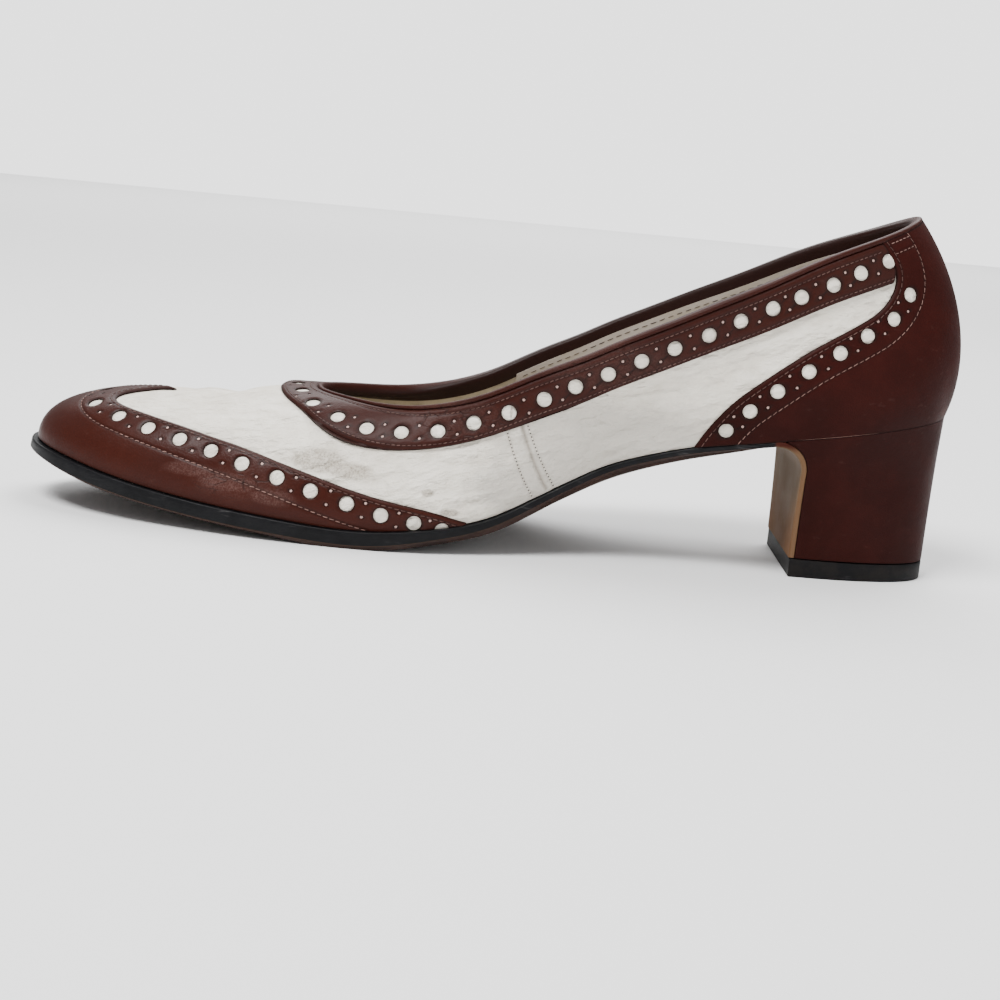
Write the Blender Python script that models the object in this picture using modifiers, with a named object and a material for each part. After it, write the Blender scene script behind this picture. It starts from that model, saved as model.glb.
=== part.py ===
"""Wing-tip spectator pump, right shoe, on a block heel.

The shoe stands on its tread and its top lift. X runs from the toe (-X) to the heel (+X), -Y is the
inner (medial) side and Z is up. The upper is one shell on ribs that climb from the feather line,
where the last meets the insole, to the topline. Every overlay is cut from the same ribs.
"""

import math

import bpy
import numpy as np

# Driving sizes, in metres.
LENGTH = 0.2450          # last, from the front of the toe spring to the back of the seat
BALL_WIDTH = 0.0740      # the feather line across the ball
SEAT_HEIGHT = 0.0437     # insole bed over the floor at the back of the seat
TOE_SPRING = 0.0118      # lift of the bed at the toe over the bed at the ball
BACK_HEIGHT = 0.0530     # topline over the seat at the back
WALL = 0.0018            # upper leather and its lining
OVERLAY = 0.0010         # thickness of the brown overlays
BAND_WIDTH = 0.0121      # collar band, from its lower edge to the topline
SOLE = 0.0044            # outsole at the forefoot
SOLE_MARGIN = 0.0026     # outsole beyond the feather line at the forefoot
INSOLE = 0.0024          # insole board and sock
LIFT = 0.0048            # top lift
FLAP = 0.0012            # sole leather down the heel breast
BREAST = 0.2044          # heel block's front face behind the toe
BREAST_RADIUS = 0.0080   # turn of the sole from the waist down the breast
HEEL_BACK = 0.2411       # back of the heel at the top lift, behind the toe
HEEL_WIDTH = 0.0410      # heel at the top lift
GAP = 0.0003             # clearance between pieces that touch
SEAM_GAP = 0.0004        # between the collar band's ends and the counter
HEM = 0.0008             # overlays start this far above the feather line
EDGE_BEVEL = 0.0007      # broken lower edge of the outsole
END_HALF = 0.0005        # half of the short straight at the very back of the heel
STEP = 0.0005            # spacing of the two points that a slope is measured between

# Insole bed over the floor. Column 1 is a share of LENGTH behind the toe. Column 2 is a share of
# TOE_SPRING and column 3 a share of the rise from the ball to the seat.
BED = (
    # station, toe lift, arch lift
    (0.000, 1.000, 0.000),
    (0.050, 0.800, 0.000),
    (0.100, 0.590, 0.000),
    (0.157, 0.390, 0.000),
    (0.212, 0.245, 0.000),
    (0.265, 0.140, 0.000),
    (0.318, 0.050, 0.000),
    (0.350, 0.010, 0.000),
    (0.384, 0.000, 0.004),
    (0.420, 0.000, 0.022),
    (0.461, 0.000, 0.058),
    (0.500, 0.000, 0.112),
    (0.531, 0.000, 0.197),
    (0.559, 0.000, 0.296),
    (0.590, 0.000, 0.405),
    (0.620, 0.000, 0.505),
    (0.669, 0.000, 0.618),
    (0.718, 0.000, 0.702),
    (0.780, 0.000, 0.772),
    (0.820, 0.000, 0.818),
    (0.873, 0.000, 0.874),
    (0.927, 0.000, 0.932),
    (1.000, 0.000, 1.010),
)

# Ribs of the upper, one row for each station round the inner side; the outer side has its own feather
# columns. A rib is a cubic curve with four handles: it leaves the feather point by "up" and "out", and
# comes to the topline point from "drop" below it, leaning back along the rib by "lean".
RIBS = (
    # inner side x, y; outer side x, y; topline x, y, rise; out, up, lean, drop
    (0.0135, 0.000, 0.0135, 0.000, 0.316, 0.000, 0.556, 0.000, 0.277, 0.56, 0.081),
    (0.0370, 0.180, 0.0310, 0.190, 0.319, 0.060, 0.556, 0.010, 0.272, 0.55, 0.078),
    (0.1050, 0.325, 0.0930, 0.345, 0.331, 0.126, 0.557, 0.025, 0.266, 0.50, 0.074),
    (0.1840, 0.405, 0.1720, 0.440, 0.354, 0.192, 0.558, 0.035, 0.255, 0.44, 0.074),
    (0.2680, 0.455, 0.2620, 0.500, 0.382, 0.252, 0.556, 0.040, 0.245, 0.37, 0.088),
    (0.3540, 0.470, 0.3500, 0.520, 0.420, 0.306, 0.562, 0.042, 0.225, 0.28, 0.125),
    (0.4400, 0.452, 0.4400, 0.500, 0.470, 0.350, 0.592, 0.046, 0.220, 0.15, 0.170),
    (0.5230, 0.385, 0.5280, 0.440, 0.532, 0.382, 0.630, 0.048, 0.205, 0.05, 0.190),
    (0.6080, 0.318, 0.6130, 0.385, 0.602, 0.402, 0.612, 0.048, 0.190, 0.00, 0.190),
    (0.6940, 0.305, 0.6980, 0.350, 0.676, 0.396, 0.650, 0.055, 0.200, 0.05, 0.200),
    (0.7800, 0.325, 0.7830, 0.342, 0.752, 0.362, 0.742, 0.062, 0.220, 0.30, 0.220),
    (0.8650, 0.330, 0.8650, 0.335, 0.832, 0.306, 0.868, 0.072, 0.260, 0.50, 0.260),
    (0.9480, 0.220, 0.9480, 0.222, 0.902, 0.200, 0.955, 0.085, 0.285, 0.95, 0.295),
    (0.9840, 0.000, 0.9840, 0.000, 0.931, 0.000, 1.000, 0.105, 0.285, 1.05, 0.300),
)
LAST_RIB = len(RIBS) - 1
ROUND = 2 * LAST_RIB

# Upper edge of the wing tip: rib number and share of the way up that rib.
WING = (
    (0.00, 0.650),
    (0.25, 0.585),
    (0.50, 0.510),
    (0.75, 0.462),
    (1.05, 0.440),
    (1.60, 0.438),
    (2.30, 0.438),
    (3.15, 0.414),
    (4.30, 0.340),
    (5.05, 0.272),
    (5.70, 0.188),
    (6.20, 0.098),
    (6.55, 0.010),
)

# Width of the collar band: rib number and share of BAND_WIDTH.
BAND = (
    (0.0, 0.93),
    (1.0, 0.94),
    (2.0, 1.02),
    (3.0, 1.15),
    (4.0, 1.27),
    (5.0, 1.23),
    (6.0, 1.10),
    (7.0, 1.02),
    (8.0, 1.00),
    (13.0, 1.00),
)

# Front edge of the counter: share of the way up, and rib number there.
COUNTER = (
    (0.00, 9.24),
    (0.10, 9.34),
    (0.23, 9.53),
    (0.34, 9.77),
    (0.45, 10.17),
    (0.55, 10.70),
    (0.635, 11.28),
    (0.70, 11.52),
    (0.78, 11.67),
    (0.855, 11.72),
    (0.925, 11.70),
    (1.00, 11.64),
)

# Side and underside of the sole: station as a share of LENGTH, then shares of SOLE for the square
# edge, the shoulder and the crown of the underside, and the margin as a share of SOLE_MARGIN. What
# would reach below the floor at the ball is worn flat on it.
SOLE_SIDE = (
    # station, edge, shoulder, crown, margin
    (0.000, 0.84, 1.00, 1.00, 1.00),
    (0.300, 0.84, 1.00, 1.02, 1.00),
    (0.345, 0.84, 1.05, 1.09, 1.00),
    (0.390, 0.82, 1.05, 1.09, 1.00),
    (0.440, 0.66, 0.92, 1.05, 0.85),
    (0.500, 0.46, 0.80, 1.16, 0.55),
    (0.560, 0.38, 0.68, 1.18, 0.40),
    (0.620, 0.35, 0.62, 1.14, 0.35),
    (0.680, 0.32, 0.56, 0.96, 0.35),
    (0.740, 0.29, 0.46, 0.78, 0.40),
    (0.800, 0.24, 0.26, 0.27, 0.45),
)

# Taper of the heel: share of the way up and share of the seat outline in the section.
HEEL_TAPER = (
    (0.00, 0.00),
    (0.25, 0.10),
    (0.50, 0.27),
    (0.75, 0.55),
    (0.90, 0.82),
    (1.00, 1.00),
)

# Section of the sole: share of the half width where its underside reaches the shoulder's full depth
# and its crown, the furthest that the bevel may cut in, and the flap's side as a share of FLAP.
SHOULDER_IN = 0.18
CROWN_IN = 0.45
BEVEL_MOST = 0.40
FLAP_SIDE = 0.80

HEEL_SQUARE = 0.72       # power of the heel's outline: 1 is an ellipse, less is squarer
WING_LEAST = 0.02        # least height of the wing tip at its ends, as a share of the rib
BAND_END = 0.85          # share of the way up where the collar band meets the counter
TURN_LEAST = 0.0006      # the heel's front stops this far under the seat

COLLECTION = "spectator_pump"
SHARP = 40.0             # degrees; edges bent more than this stay sharp

UPPER_ROUND = 84         # faces round the upper
UPPER_HIGH = 12          # faces up the upper
WING_GRID = (65, 9)      # points along and up each overlay
BAND_GRID = (63, 4)
COUNTER_GRID = (39, 13)
SOLE_STATIONS = 36       # stations down one side of the sole, toe to breast
FLAP_TURN = 6            # stations round the turn into the breast
FLAP_DROP = 3            # and down the breast
INSOLE_STATIONS = 32     # stations down one side of the insole
HEEL_STATIONS = 15       # stations down one side of the heel block
HEEL_TURN = 9            # stations of the heel's front under the turn of the sole


def spline(knots, values, at):
    """Natural cubic spline through unevenly spaced knots."""
    knots = np.asarray(knots, float)
    values = np.asarray(values, float)
    at = np.asarray(at, float)
    size = len(knots)
    step = np.diff(knots)
    system = np.eye(size)
    right = np.zeros(size)
    rows = np.arange(1, size - 1)
    system[rows, rows - 1] = step[:-1]
    system[rows, rows] = 2.0 * (step[:-1] + step[1:])
    system[rows, rows + 1] = step[1:]
    right[1:-1] = 6.0 * np.diff(np.diff(values) / step)
    bend = np.linalg.solve(system, right)
    low = np.clip(np.searchsorted(knots, at) - 1, 0, size - 2)
    high = low + 1
    span = step[low]
    back = knots[high] - at
    front = at - knots[low]
    curve = (bend[low] * back**3 + bend[high] * front**3) / (6.0 * span)
    line = (values[low] / span - bend[low] * span / 6.0) * back
    return curve + line + (values[high] / span - bend[high] * span / 6.0) * front


def ring_spline(values, at):
    """Closed cubic spline through values that are one apart."""
    values = np.asarray(values, float)
    size = len(values)
    unit = np.eye(size)
    system = 4.0 * unit + np.roll(unit, 1, 1) + np.roll(unit, -1, 1)
    right = 6.0 * (np.roll(values, 1) - 2.0 * values + np.roll(values, -1))
    bend = np.linalg.solve(system, right)
    at = np.mod(np.asarray(at, float), size)
    low = np.floor(at).astype(int) % size
    high = (low + 1) % size
    front = at - np.floor(at)
    back = 1.0 - front
    line = back * values[low] + front * values[high]
    return line + ((back**3 - back) * bend[low] + (front**3 - front) * bend[high]) / 6.0


def table(rows, at, column=1):
    """Column of a table, read along its first column by a spline."""
    knots = [row[0] for row in rows]
    values = [row[column] for row in rows]
    return spline(knots, values, np.clip(at, knots[0], knots[-1]))


def bed(along):
    """Height of the insole bed, a distance behind the toe."""
    ball = SOLE + GAP
    station = np.asarray(along) / LENGTH
    toe = table(BED, station, 1) * TOE_SPRING
    return ball + toe + table(BED, station, 2) * (SEAT_HEIGHT - ball)


def ring(inner, outer, size, side=1.0):
    """A column of RIBS taken right round the shoe, inner side first; side is -1 where the outer side
    is mirrored."""
    forth = [row[inner] * size for row in RIBS]
    back = [row[outer] * size * side for row in RIBS[LAST_RIB - 1:0:-1]]
    return forth + back


def feather(rib):
    """Feather point of a rib and the outward direction there, both as arrays of x, y, z."""
    step = 0.001
    along = ring(0, 2, LENGTH)
    across = ring(1, 3, -BALL_WIDTH, -1.0)
    x = ring_spline(along, rib)
    y = ring_spline(across, rib)
    run_x = ring_spline(along, rib + step) - ring_spline(along, rib - step)
    run_y = ring_spline(across, rib + step) - ring_spline(across, rib - step)
    run = np.hypot(run_x, run_y)
    outward = np.stack([run_y / run, -run_x / run, np.zeros_like(x)], -1)
    return np.stack([x, y, bed(x)], -1), outward


def topline(rib):
    """Topline point of a rib."""
    x = ring_spline(ring(4, 4, LENGTH), rib)
    y = ring_spline(ring(5, 5, -BALL_WIDTH, -1.0), rib)
    rise = ring_spline(ring(6, 6, BACK_HEIGHT), rib)
    return np.stack([x, y, bed(x) + rise], -1)


def rib_point(rib, share):
    """Point of the upper's outer face: a cubic rib from the feather line to the topline."""
    rib, share = np.broadcast_arrays(np.asarray(rib, float), np.asarray(share, float))
    foot, outward = feather(rib)
    top = topline(rib)
    up = np.array([0.0, 0.0, 1.0])
    level = np.array([1.0, 1.0, 0.0])
    out = ring_spline(ring(7, 7, BACK_HEIGHT), rib)[..., None]
    rise = ring_spline(ring(8, 8, BACK_HEIGHT), rib)[..., None]
    lean = ring_spline(ring(9, 9, 1.0), rib)[..., None]
    drop = ring_spline(ring(10, 10, BACK_HEIGHT), rib)[..., None]
    low = foot + outward * out + up * rise
    high = top + (foot - top) * level * lean - up * drop
    t = share[..., None]
    r = 1.0 - t
    return r**3 * foot + 3.0 * r * r * t * low + 3.0 * r * t * t * high + t**3 * top


def outer_normal(rib, share):
    """Outward unit normal of the upper's outer face."""
    step = 0.0001
    across = rib_point(rib + step, share) - rib_point(rib - step, share)
    upward = rib_point(rib, share + step) - rib_point(rib, share - step)
    normal = np.cross(across, upward)
    return normal / np.linalg.norm(normal, axis=-1, keepdims=True)


def share_up(rib, distance):
    """Share of each rib at a distance over the surface from the feather line, or from the topline
    where the distance is negative."""
    share = np.linspace(0.0, 1.0, 65)
    rib, distance = np.broadcast_arrays(np.asarray(rib, float), np.asarray(distance, float))
    points = rib_point(rib.reshape(-1, 1), share)
    pieces = np.linalg.norm(np.diff(points, axis=1), axis=2)
    length = np.concatenate([np.zeros((len(points), 1)), np.cumsum(pieces, axis=1)], axis=1)
    wanted = distance.reshape(-1)
    wanted = np.where(wanted < 0.0, length[:, -1] + wanted, wanted)
    found = [np.interp(value, row, share) for value, row in zip(wanted, length)]
    return np.reshape(found, rib.shape)


def bed_slope(along):
    """Slope of the insole bed, a distance behind the toe."""
    return (bed(along + STEP) - bed(along - STEP)) / (2.0 * STEP)


def through_sole(along):
    """Unit directions down through the sole, square to the bed, a distance behind the toe."""
    slope = bed_slope(along)
    down = np.stack([slope, np.zeros_like(slope), -np.ones_like(slope)], -1)
    return down / np.linalg.norm(down, axis=1, keepdims=True)


def middle():
    """Middle of the shoe's length and width on the floor."""
    rib = np.linspace(0.0, ROUND, 521)
    edge, outward = feather(rib)
    station = edge[:, 0] / LENGTH
    margin = table(SOLE_SIDE, station, 4) * SOLE_MARGIN
    depth = table(SOLE_SIDE, station, 1) * SOLE + GAP
    rim = edge + outward * margin[:, None] + through_sole(edge[:, 0]) * depth[:, None]
    back = rib_point(float(LAST_RIB), np.linspace(0.0, 1.0, 65))[:, 0].max() + GAP + OVERLAY
    across = rim[:, 1].min() + rim[:, 1].max()
    return np.array([0.5 * (rim[:, 0].min() + back), 0.5 * across, 0.0])


def centred(points):
    """Points measured from the toe, moved to the middle of the shoe."""
    return np.asarray(points) - middle()


def add_mesh(name, points, faces, material):
    """A mesh object from rows of points and faces, shaded smooth."""
    mesh = bpy.data.meshes.new(name)
    mesh.from_pydata(centred(points).reshape(-1, 3).tolist(), [], faces)
    mesh.update()
    mesh.materials.append(material)
    mesh.shade_smooth()
    mesh.set_sharp_from_angle(angle=math.radians(SHARP))
    piece = bpy.data.objects.new(name, mesh)
    bpy.data.collections[COLLECTION].objects.link(piece)
    return piece


def grid_faces(rows, columns, closed=False):
    """Quads of a grid of points; closed joins the last row to the first."""
    last = rows if closed else rows - 1
    faces = []
    for row in range(last):
        after = (row + 1) % rows
        for column in range(columns - 1):
            here = row * columns + column
            there = after * columns + column
            faces.append((here, there, there + 1, here + 1))
    return faces


def add_shell(name, points, thickness, side, material, closed=False):
    """An open grid of points with a wall: side 1 thickens outward and -1 inward."""
    rows, columns = points.shape[:2]
    piece = add_mesh(name, points, grid_faces(rows, columns, closed), material)
    wall = piece.modifiers.new("Wall", "SOLIDIFY")
    wall.thickness = thickness
    wall.offset = side
    wall.use_even_offset = True
    return piece


def add_loft(name, loops, material):
    """A closed solid through loops of points. Each loop runs down one side and back up the other, so
    point i faces point -1-i, and the first and last loops are closed by rungs between them."""
    loops = np.asarray(loops)
    count = loops.shape[1]
    faces = []
    for level in range(len(loops) - 1):
        for i in range(count):
            j = (i + 1) % count
            low = level * count
            high = low + count
            faces.append((low + i, high + i, high + j, low + j))
    end = (len(loops) - 1) * count
    for i in range(count // 2 - 1):
        facing = count - 1 - i
        faces.append((i, i + 1, facing - 1, facing))
        faces.append((end + i, end + facing, end + facing - 1, end + i + 1))
    return add_mesh(name, loops, faces, material)


def add_material(name, colour, roughness):
    """Principled material of one finish."""
    material = bpy.data.materials.new(name)
    material.use_nodes = True
    shader = material.node_tree.nodes["Principled BSDF"]
    shader.inputs["Base Color"].default_value = (*colour, 1.0)
    shader.inputs["Roughness"].default_value = roughness
    shader.inputs["Metallic"].default_value = 0.0
    return material


def make_upper(material):
    """Vamp and quarters: one lasted shell, open at the collar and underneath."""
    rib = np.linspace(0.0, ROUND, UPPER_ROUND, endpoint=False)[:, None]
    share = np.linspace(0.0, 1.0, UPPER_HIGH + 1)[None, :]
    return add_shell("upper", rib_point(rib, share), WALL, -1.0, material, closed=True)


def overlay(name, rib, share, material):
    """A patch of the upper's outer face, lifted by the gap and thickened outward."""
    points = rib_point(rib, share) + outer_normal(rib, share) * GAP
    return add_shell(name, points, OVERLAY, 1.0, material)


def make_wing_tip(material):
    """Toe cap with a centre peak and a wing along each side of the forefoot."""
    count, rows = WING_GRID
    rib = np.linspace(-WING[-1][0], WING[-1][0], count)
    low = share_up(rib, HEM)
    high = np.maximum(table(WING, np.abs(rib)), low + WING_LEAST)
    share = low[:, None] + (high - low)[:, None] * np.linspace(0.0, 1.0, rows)
    rib = np.broadcast_to(rib[:, None], share.shape)
    return overlay("wing_tip", rib, share, material)


def counter_edge(share):
    """Rib number of the counter's front edge at a share of the way up."""
    return table(COUNTER, share)


def make_collar_band(material):
    """Band along the topline, from one edge of the counter round the throat to the other."""
    count, rows = BAND_GRID
    turn = np.linspace(-1.0, 1.0, count)[:, None]
    rough = turn * counter_edge(BAND_END)
    low = share_up(rough, -BAND_WIDTH * table(BAND, np.abs(rough)))
    share = low + (1.0 - low) * np.linspace(0.0, 1.0, rows)
    rib_length = 2.0 * LENGTH / ROUND
    rib = turn * (counter_edge(share) - (SEAM_GAP + OVERLAY) / rib_length)
    return overlay("collar_band", rib, share, material)


def make_counter(material):
    """Heel counter with its back strap, from the seat to the topline."""
    count, rows = COUNTER_GRID
    share = np.linspace(0.0, 1.0, rows)[None, :]
    turn = np.linspace(-1.0, 1.0, count)[:, None]
    rib = LAST_RIB + turn * (LAST_RIB - counter_edge(share))
    share = np.maximum(share, share_up(rib, HEM))
    return overlay("counter", rib, share, material)


def sole_turn():
    """Start of the turn down the breast: distance behind the toe, height and slope of the bed."""
    start = BREAST - BREAST_RADIUS
    for _ in range(4):
        slope = math.atan(bed_slope(start))
        start = BREAST - BREAST_RADIUS * (1.0 + math.sin(slope))
    return start, float(bed(start)), slope


def breast_path(arc, drop):
    """Upper face of the sole round the turn, in arc steps, and down the breast, in drop steps: rows of
    x, z and the direction towards its underside."""
    start, height, slope = sole_turn()
    middle_x = start + BREAST_RADIUS * math.sin(slope)
    middle_z = height - BREAST_RADIUS * math.cos(slope)
    heading = slope + (math.radians(-90.0) - slope) * np.arange(1, arc + 1) / arc
    side = np.stack([np.sin(heading), -np.cos(heading)], -1)
    turn = np.array([middle_x, middle_z]) - BREAST_RADIUS * side
    foot = LIFT + GAP
    straight_z = middle_z + (foot - middle_z) * np.arange(1, drop + 1) / drop
    straight = np.stack([np.full(drop, BREAST), straight_z], -1)
    path = np.concatenate([turn, straight])
    side = np.concatenate([side, np.tile([-1.0, 0.0], (drop, 1))])
    return np.concatenate([path, side], axis=1)


def rib_at(along, inner):
    """Rib number on one side where the feather line is a distance behind the toe."""
    rib = np.linspace(0.0, LAST_RIB, 400)
    if not inner:
        rib = -rib
    return np.interp(along, feather(rib)[0][:, 0], rib)


def sole_side(inner):
    """One side of the sole, toe to the foot of the breast: upper edge points, outward directions and
    the directions down through the sole."""
    start = sole_turn()[0]
    half = 0.5 / SOLE_STATIONS
    rib = np.linspace(half, 1.0, SOLE_STATIONS) * rib_at(start, inner)
    edge, outward = feather(rib)
    down = through_sole(edge[:, 0])
    path = breast_path(FLAP_TURN, FLAP_DROP)
    count = len(path)
    share = np.arange(1, count + 1) / count
    side = -1.0 if inner else 1.0
    narrow = 0.5 * HEEL_WIDTH - GAP
    width = abs(edge[-1, 1]) + (narrow - abs(edge[-1, 1])) * share
    flap = np.stack([path[:, 0], side * width, path[:, 1]], -1)
    across = np.tile([0.0, side, 0.0], (count, 1))
    under = np.stack([path[:, 2], np.zeros(count), path[:, 3]], -1)
    return np.concatenate([edge, flap]), np.concatenate([outward, across]), np.concatenate([down, under])


def make_outsole(material):
    """Leather sole: square edge at the forefoot, close rounded waist, and a flap down the breast."""
    sides = [sole_side(True), sole_side(False)]
    edge, outward, down = (np.concatenate([a, b[::-1]]) for a, b in zip(*sides))
    station = edge[:, 0] / LENGTH
    on_flap = np.zeros(len(edge), bool)
    on_flap[SOLE_STATIONS:-SOLE_STATIONS] = True
    side, shoulder, crown = (table(SOLE_SIDE, station, column) * SOLE for column in (1, 2, 3))
    side = np.where(on_flap, FLAP * FLAP_SIDE, side)
    shoulder = np.where(on_flap, FLAP, shoulder)
    crown = np.where(on_flap, FLAP, crown)
    margin = np.where(on_flap, 0.0, table(SOLE_SIDE, station, 4) * SOLE_MARGIN)
    half = np.abs(edge[:, 1])
    bevel = np.minimum(EDGE_BEVEL + (SOLE - shoulder), BEVEL_MOST * half)
    bevel = np.where(on_flap, 0.0, bevel)
    top = edge + down * GAP + outward * margin[:, None]
    section = (
        # depth below the upper edge, distance in from it
        (side, np.zeros_like(half)),
        (shoulder, bevel),
        (0.5 * (shoulder + crown), SHOULDER_IN * half),
        (crown, CROWN_IN * half),
    )
    loops = [top]
    for depth, inward in section:
        loops.append(top + down * depth[:, None] - outward * inward[:, None])
    for loop in loops:
        loop[:, 2] = np.maximum(loop[:, 2], 0.0)
    return add_loft("outsole", loops, material)


def make_insole(material):
    """Insole and sock inside the wall, from the toe to the back of the seat."""
    count = 2 * INSOLE_STATIONS
    rib = (np.arange(count) + 0.5) * ROUND / count
    edge, outward = feather(rib)
    inner = edge - outward * (WALL + 2.0 * GAP)
    inner[:, 2] = bed(inner[:, 0])
    top = inner.copy()
    top[:, 2] += INSOLE
    return add_loft("insole", [top, inner], material)


def seat_width(along, inner):
    """Half width of the seat outline, counter included, a distance behind the toe."""
    rib = np.linspace(rib_at(0.7 * LENGTH, inner), LAST_RIB if inner else -LAST_RIB, 240)
    edge, outward = feather(rib)
    rim = edge + outward * (GAP + OVERLAY)
    return np.interp(along, rim[:, 0], np.abs(rim[:, 1]))


def seat_back():
    """Back of the seat outline, counter included."""
    return float(feather(np.array([float(LAST_RIB)]))[0][0, 0]) + GAP + OVERLAY


def heel_outline():
    """Quarter outline of the heel's foot: shares of its length and of its half width."""
    turn = np.linspace(0.0, 0.5 * math.pi, HEEL_STATIONS)
    return np.sin(turn), np.cos(turn) ** HEEL_SQUARE


def heel_loop(front, height):
    """Outline of the heel a share of the way up, with its flat front face at front."""
    along, across = heel_outline()
    grow = float(table(HEEL_TAPER, height))
    back = HEEL_BACK + (seat_back() - HEEL_BACK) * grow
    x = front + (back - front) * along
    low = LIFT + GAP
    top = bed(x) - GAP
    z = low + (top - low) * height
    sides = []
    for inner in (True, False):
        plain = 0.5 * HEEL_WIDTH * across
        seat = seat_width(front + (seat_back() - front) * along, inner)
        seat[-1] = 0.0
        width = plain + (seat - plain) * grow
        width = np.maximum(width, END_HALF)
        sides.append(np.stack([x, -width if inner else width, z], -1))
    return np.concatenate([sides[0], sides[1][::-1]])


def make_heel(material):
    """Block heel, covered in leather, from the top lift to the seat."""
    low = LIFT + GAP
    path = breast_path(HEEL_TURN, FLAP_DROP)[::-1]
    loops = []
    for x, z, side_x, side_z in path:
        front = x - side_x * GAP
        level = z - side_z * GAP
        top = float(bed(front)) - GAP
        if top - level < TURN_LEAST:
            break
        loops.append(heel_loop(front, (level - low) / (top - low)))
    loops.append(heel_loop(front, 1.0))
    return add_loft("heel", loops[::-1], material)


def make_top_lift(material):
    """Flat rubber lift under the heel and the foot of the breast flap."""
    along, across = heel_outline()
    front = BREAST - FLAP
    x = front + (HEEL_BACK - front) * along
    y = np.maximum(0.5 * HEEL_WIDTH * across, END_HALF)
    loop = np.concatenate([np.stack([x, -y], -1), np.stack([x, y], -1)[::-1]])
    top = np.column_stack([loop, np.full(len(loop), LIFT)])
    under = np.column_stack([loop, np.zeros(len(loop))])
    return add_loft("top_lift", [top, under], material)


def main():
    for thing in list(bpy.data.objects):
        bpy.data.objects.remove(thing, do_unlink=True)
    bpy.context.scene.collection.children.link(bpy.data.collections.new(COLLECTION))
    white = add_material("white_leather", (0.80, 0.77, 0.71), 0.45)
    brown = add_material("brown_leather", (0.075, 0.022, 0.017), 0.38)
    sole = add_material("sole_leather", (0.030, 0.022, 0.019), 0.55)
    sock = add_material("sock_lining", (0.62, 0.54, 0.42), 0.70)
    rubber = add_material("lift_rubber", (0.020, 0.020, 0.020), 0.65)
    make_upper(white)
    make_wing_tip(brown)
    make_collar_band(brown)
    make_counter(brown)
    make_outsole(sole)
    make_insole(sock)
    make_heel(brown)
    make_top_lift(rubber)


main()
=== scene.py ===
"""Looks of a wing-tip spectator pump, right shoe, on a block heel.

The upper is one surface on ribs: a rib climbs from the feather line, where the last meets the
insole, to the topline. Rib 0 is the middle of the toe, rib 13 the back of the heel, and ribs count
up round the inner side (-Y) and down round the outer side. A share of 0 is the foot of a rib and 1
its top. Leather pieces, holes, stitches and creases are all placed on that surface.
"""

import math

import bpy
import numpy as np
from mathutils import Matrix, Vector


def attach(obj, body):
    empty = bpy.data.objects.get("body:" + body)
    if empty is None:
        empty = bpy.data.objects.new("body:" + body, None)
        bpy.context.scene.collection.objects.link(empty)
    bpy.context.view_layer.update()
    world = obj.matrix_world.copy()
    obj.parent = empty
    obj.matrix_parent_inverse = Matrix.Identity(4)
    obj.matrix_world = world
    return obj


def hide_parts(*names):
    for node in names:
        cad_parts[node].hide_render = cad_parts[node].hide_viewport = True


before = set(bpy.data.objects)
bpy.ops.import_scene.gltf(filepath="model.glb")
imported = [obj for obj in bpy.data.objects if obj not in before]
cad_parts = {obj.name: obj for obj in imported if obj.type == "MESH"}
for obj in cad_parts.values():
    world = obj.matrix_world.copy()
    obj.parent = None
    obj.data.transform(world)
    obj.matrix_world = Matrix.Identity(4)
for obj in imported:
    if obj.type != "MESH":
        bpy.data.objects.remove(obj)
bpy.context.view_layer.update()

bl_info = {
    "name": "Spectator pump",
    "version": (1, 0, 0),
    "blender": (4, 5, 0),
    "location": "3D View > Sidebar > Pump",
    "description": "Leather pieces, stitching, sole and heel of a wing-tip spectator pump",
    "category": "Object",
}

# Sizes of the last and the sole, in metres.
LENGTH = 0.2450
BALL_WIDTH = 0.0740
SEAT_HEIGHT = 0.0437
TOE_SPRING = 0.0118
BACK_HEIGHT = 0.0530
WALL = 0.0018
OVERLAY = 0.0010
BAND_WIDTH = 0.0121
SOLE = 0.0044
SOLE_MARGIN = 0.0026
INSOLE = 0.0024
LIFT = 0.0048
FLAP = 0.0012
BREAST = 0.2044
BREAST_RADIUS = 0.0080
HEEL_BACK = 0.2411
HEEL_WIDTH = 0.0410
GAP = 0.0003
STEP = 0.0005            # distance either way over which the bed's slope is taken
RIB_APART = 0.012        # a rib from the next, about
RIB_SAMPLES = 521        # ribs sampled right round the shoe

BED = (
    # station, toe lift, arch lift
    (0.000, 1.000, 0.000),
    (0.050, 0.800, 0.000),
    (0.100, 0.590, 0.000),
    (0.157, 0.390, 0.000),
    (0.212, 0.245, 0.000),
    (0.265, 0.140, 0.000),
    (0.318, 0.050, 0.000),
    (0.350, 0.010, 0.000),
    (0.384, 0.000, 0.004),
    (0.420, 0.000, 0.022),
    (0.461, 0.000, 0.058),
    (0.500, 0.000, 0.112),
    (0.531, 0.000, 0.197),
    (0.559, 0.000, 0.296),
    (0.590, 0.000, 0.405),
    (0.620, 0.000, 0.505),
    (0.669, 0.000, 0.618),
    (0.718, 0.000, 0.702),
    (0.780, 0.000, 0.772),
    (0.820, 0.000, 0.818),
    (0.873, 0.000, 0.874),
    (0.927, 0.000, 0.932),
    (1.000, 0.000, 1.010),
)

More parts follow.
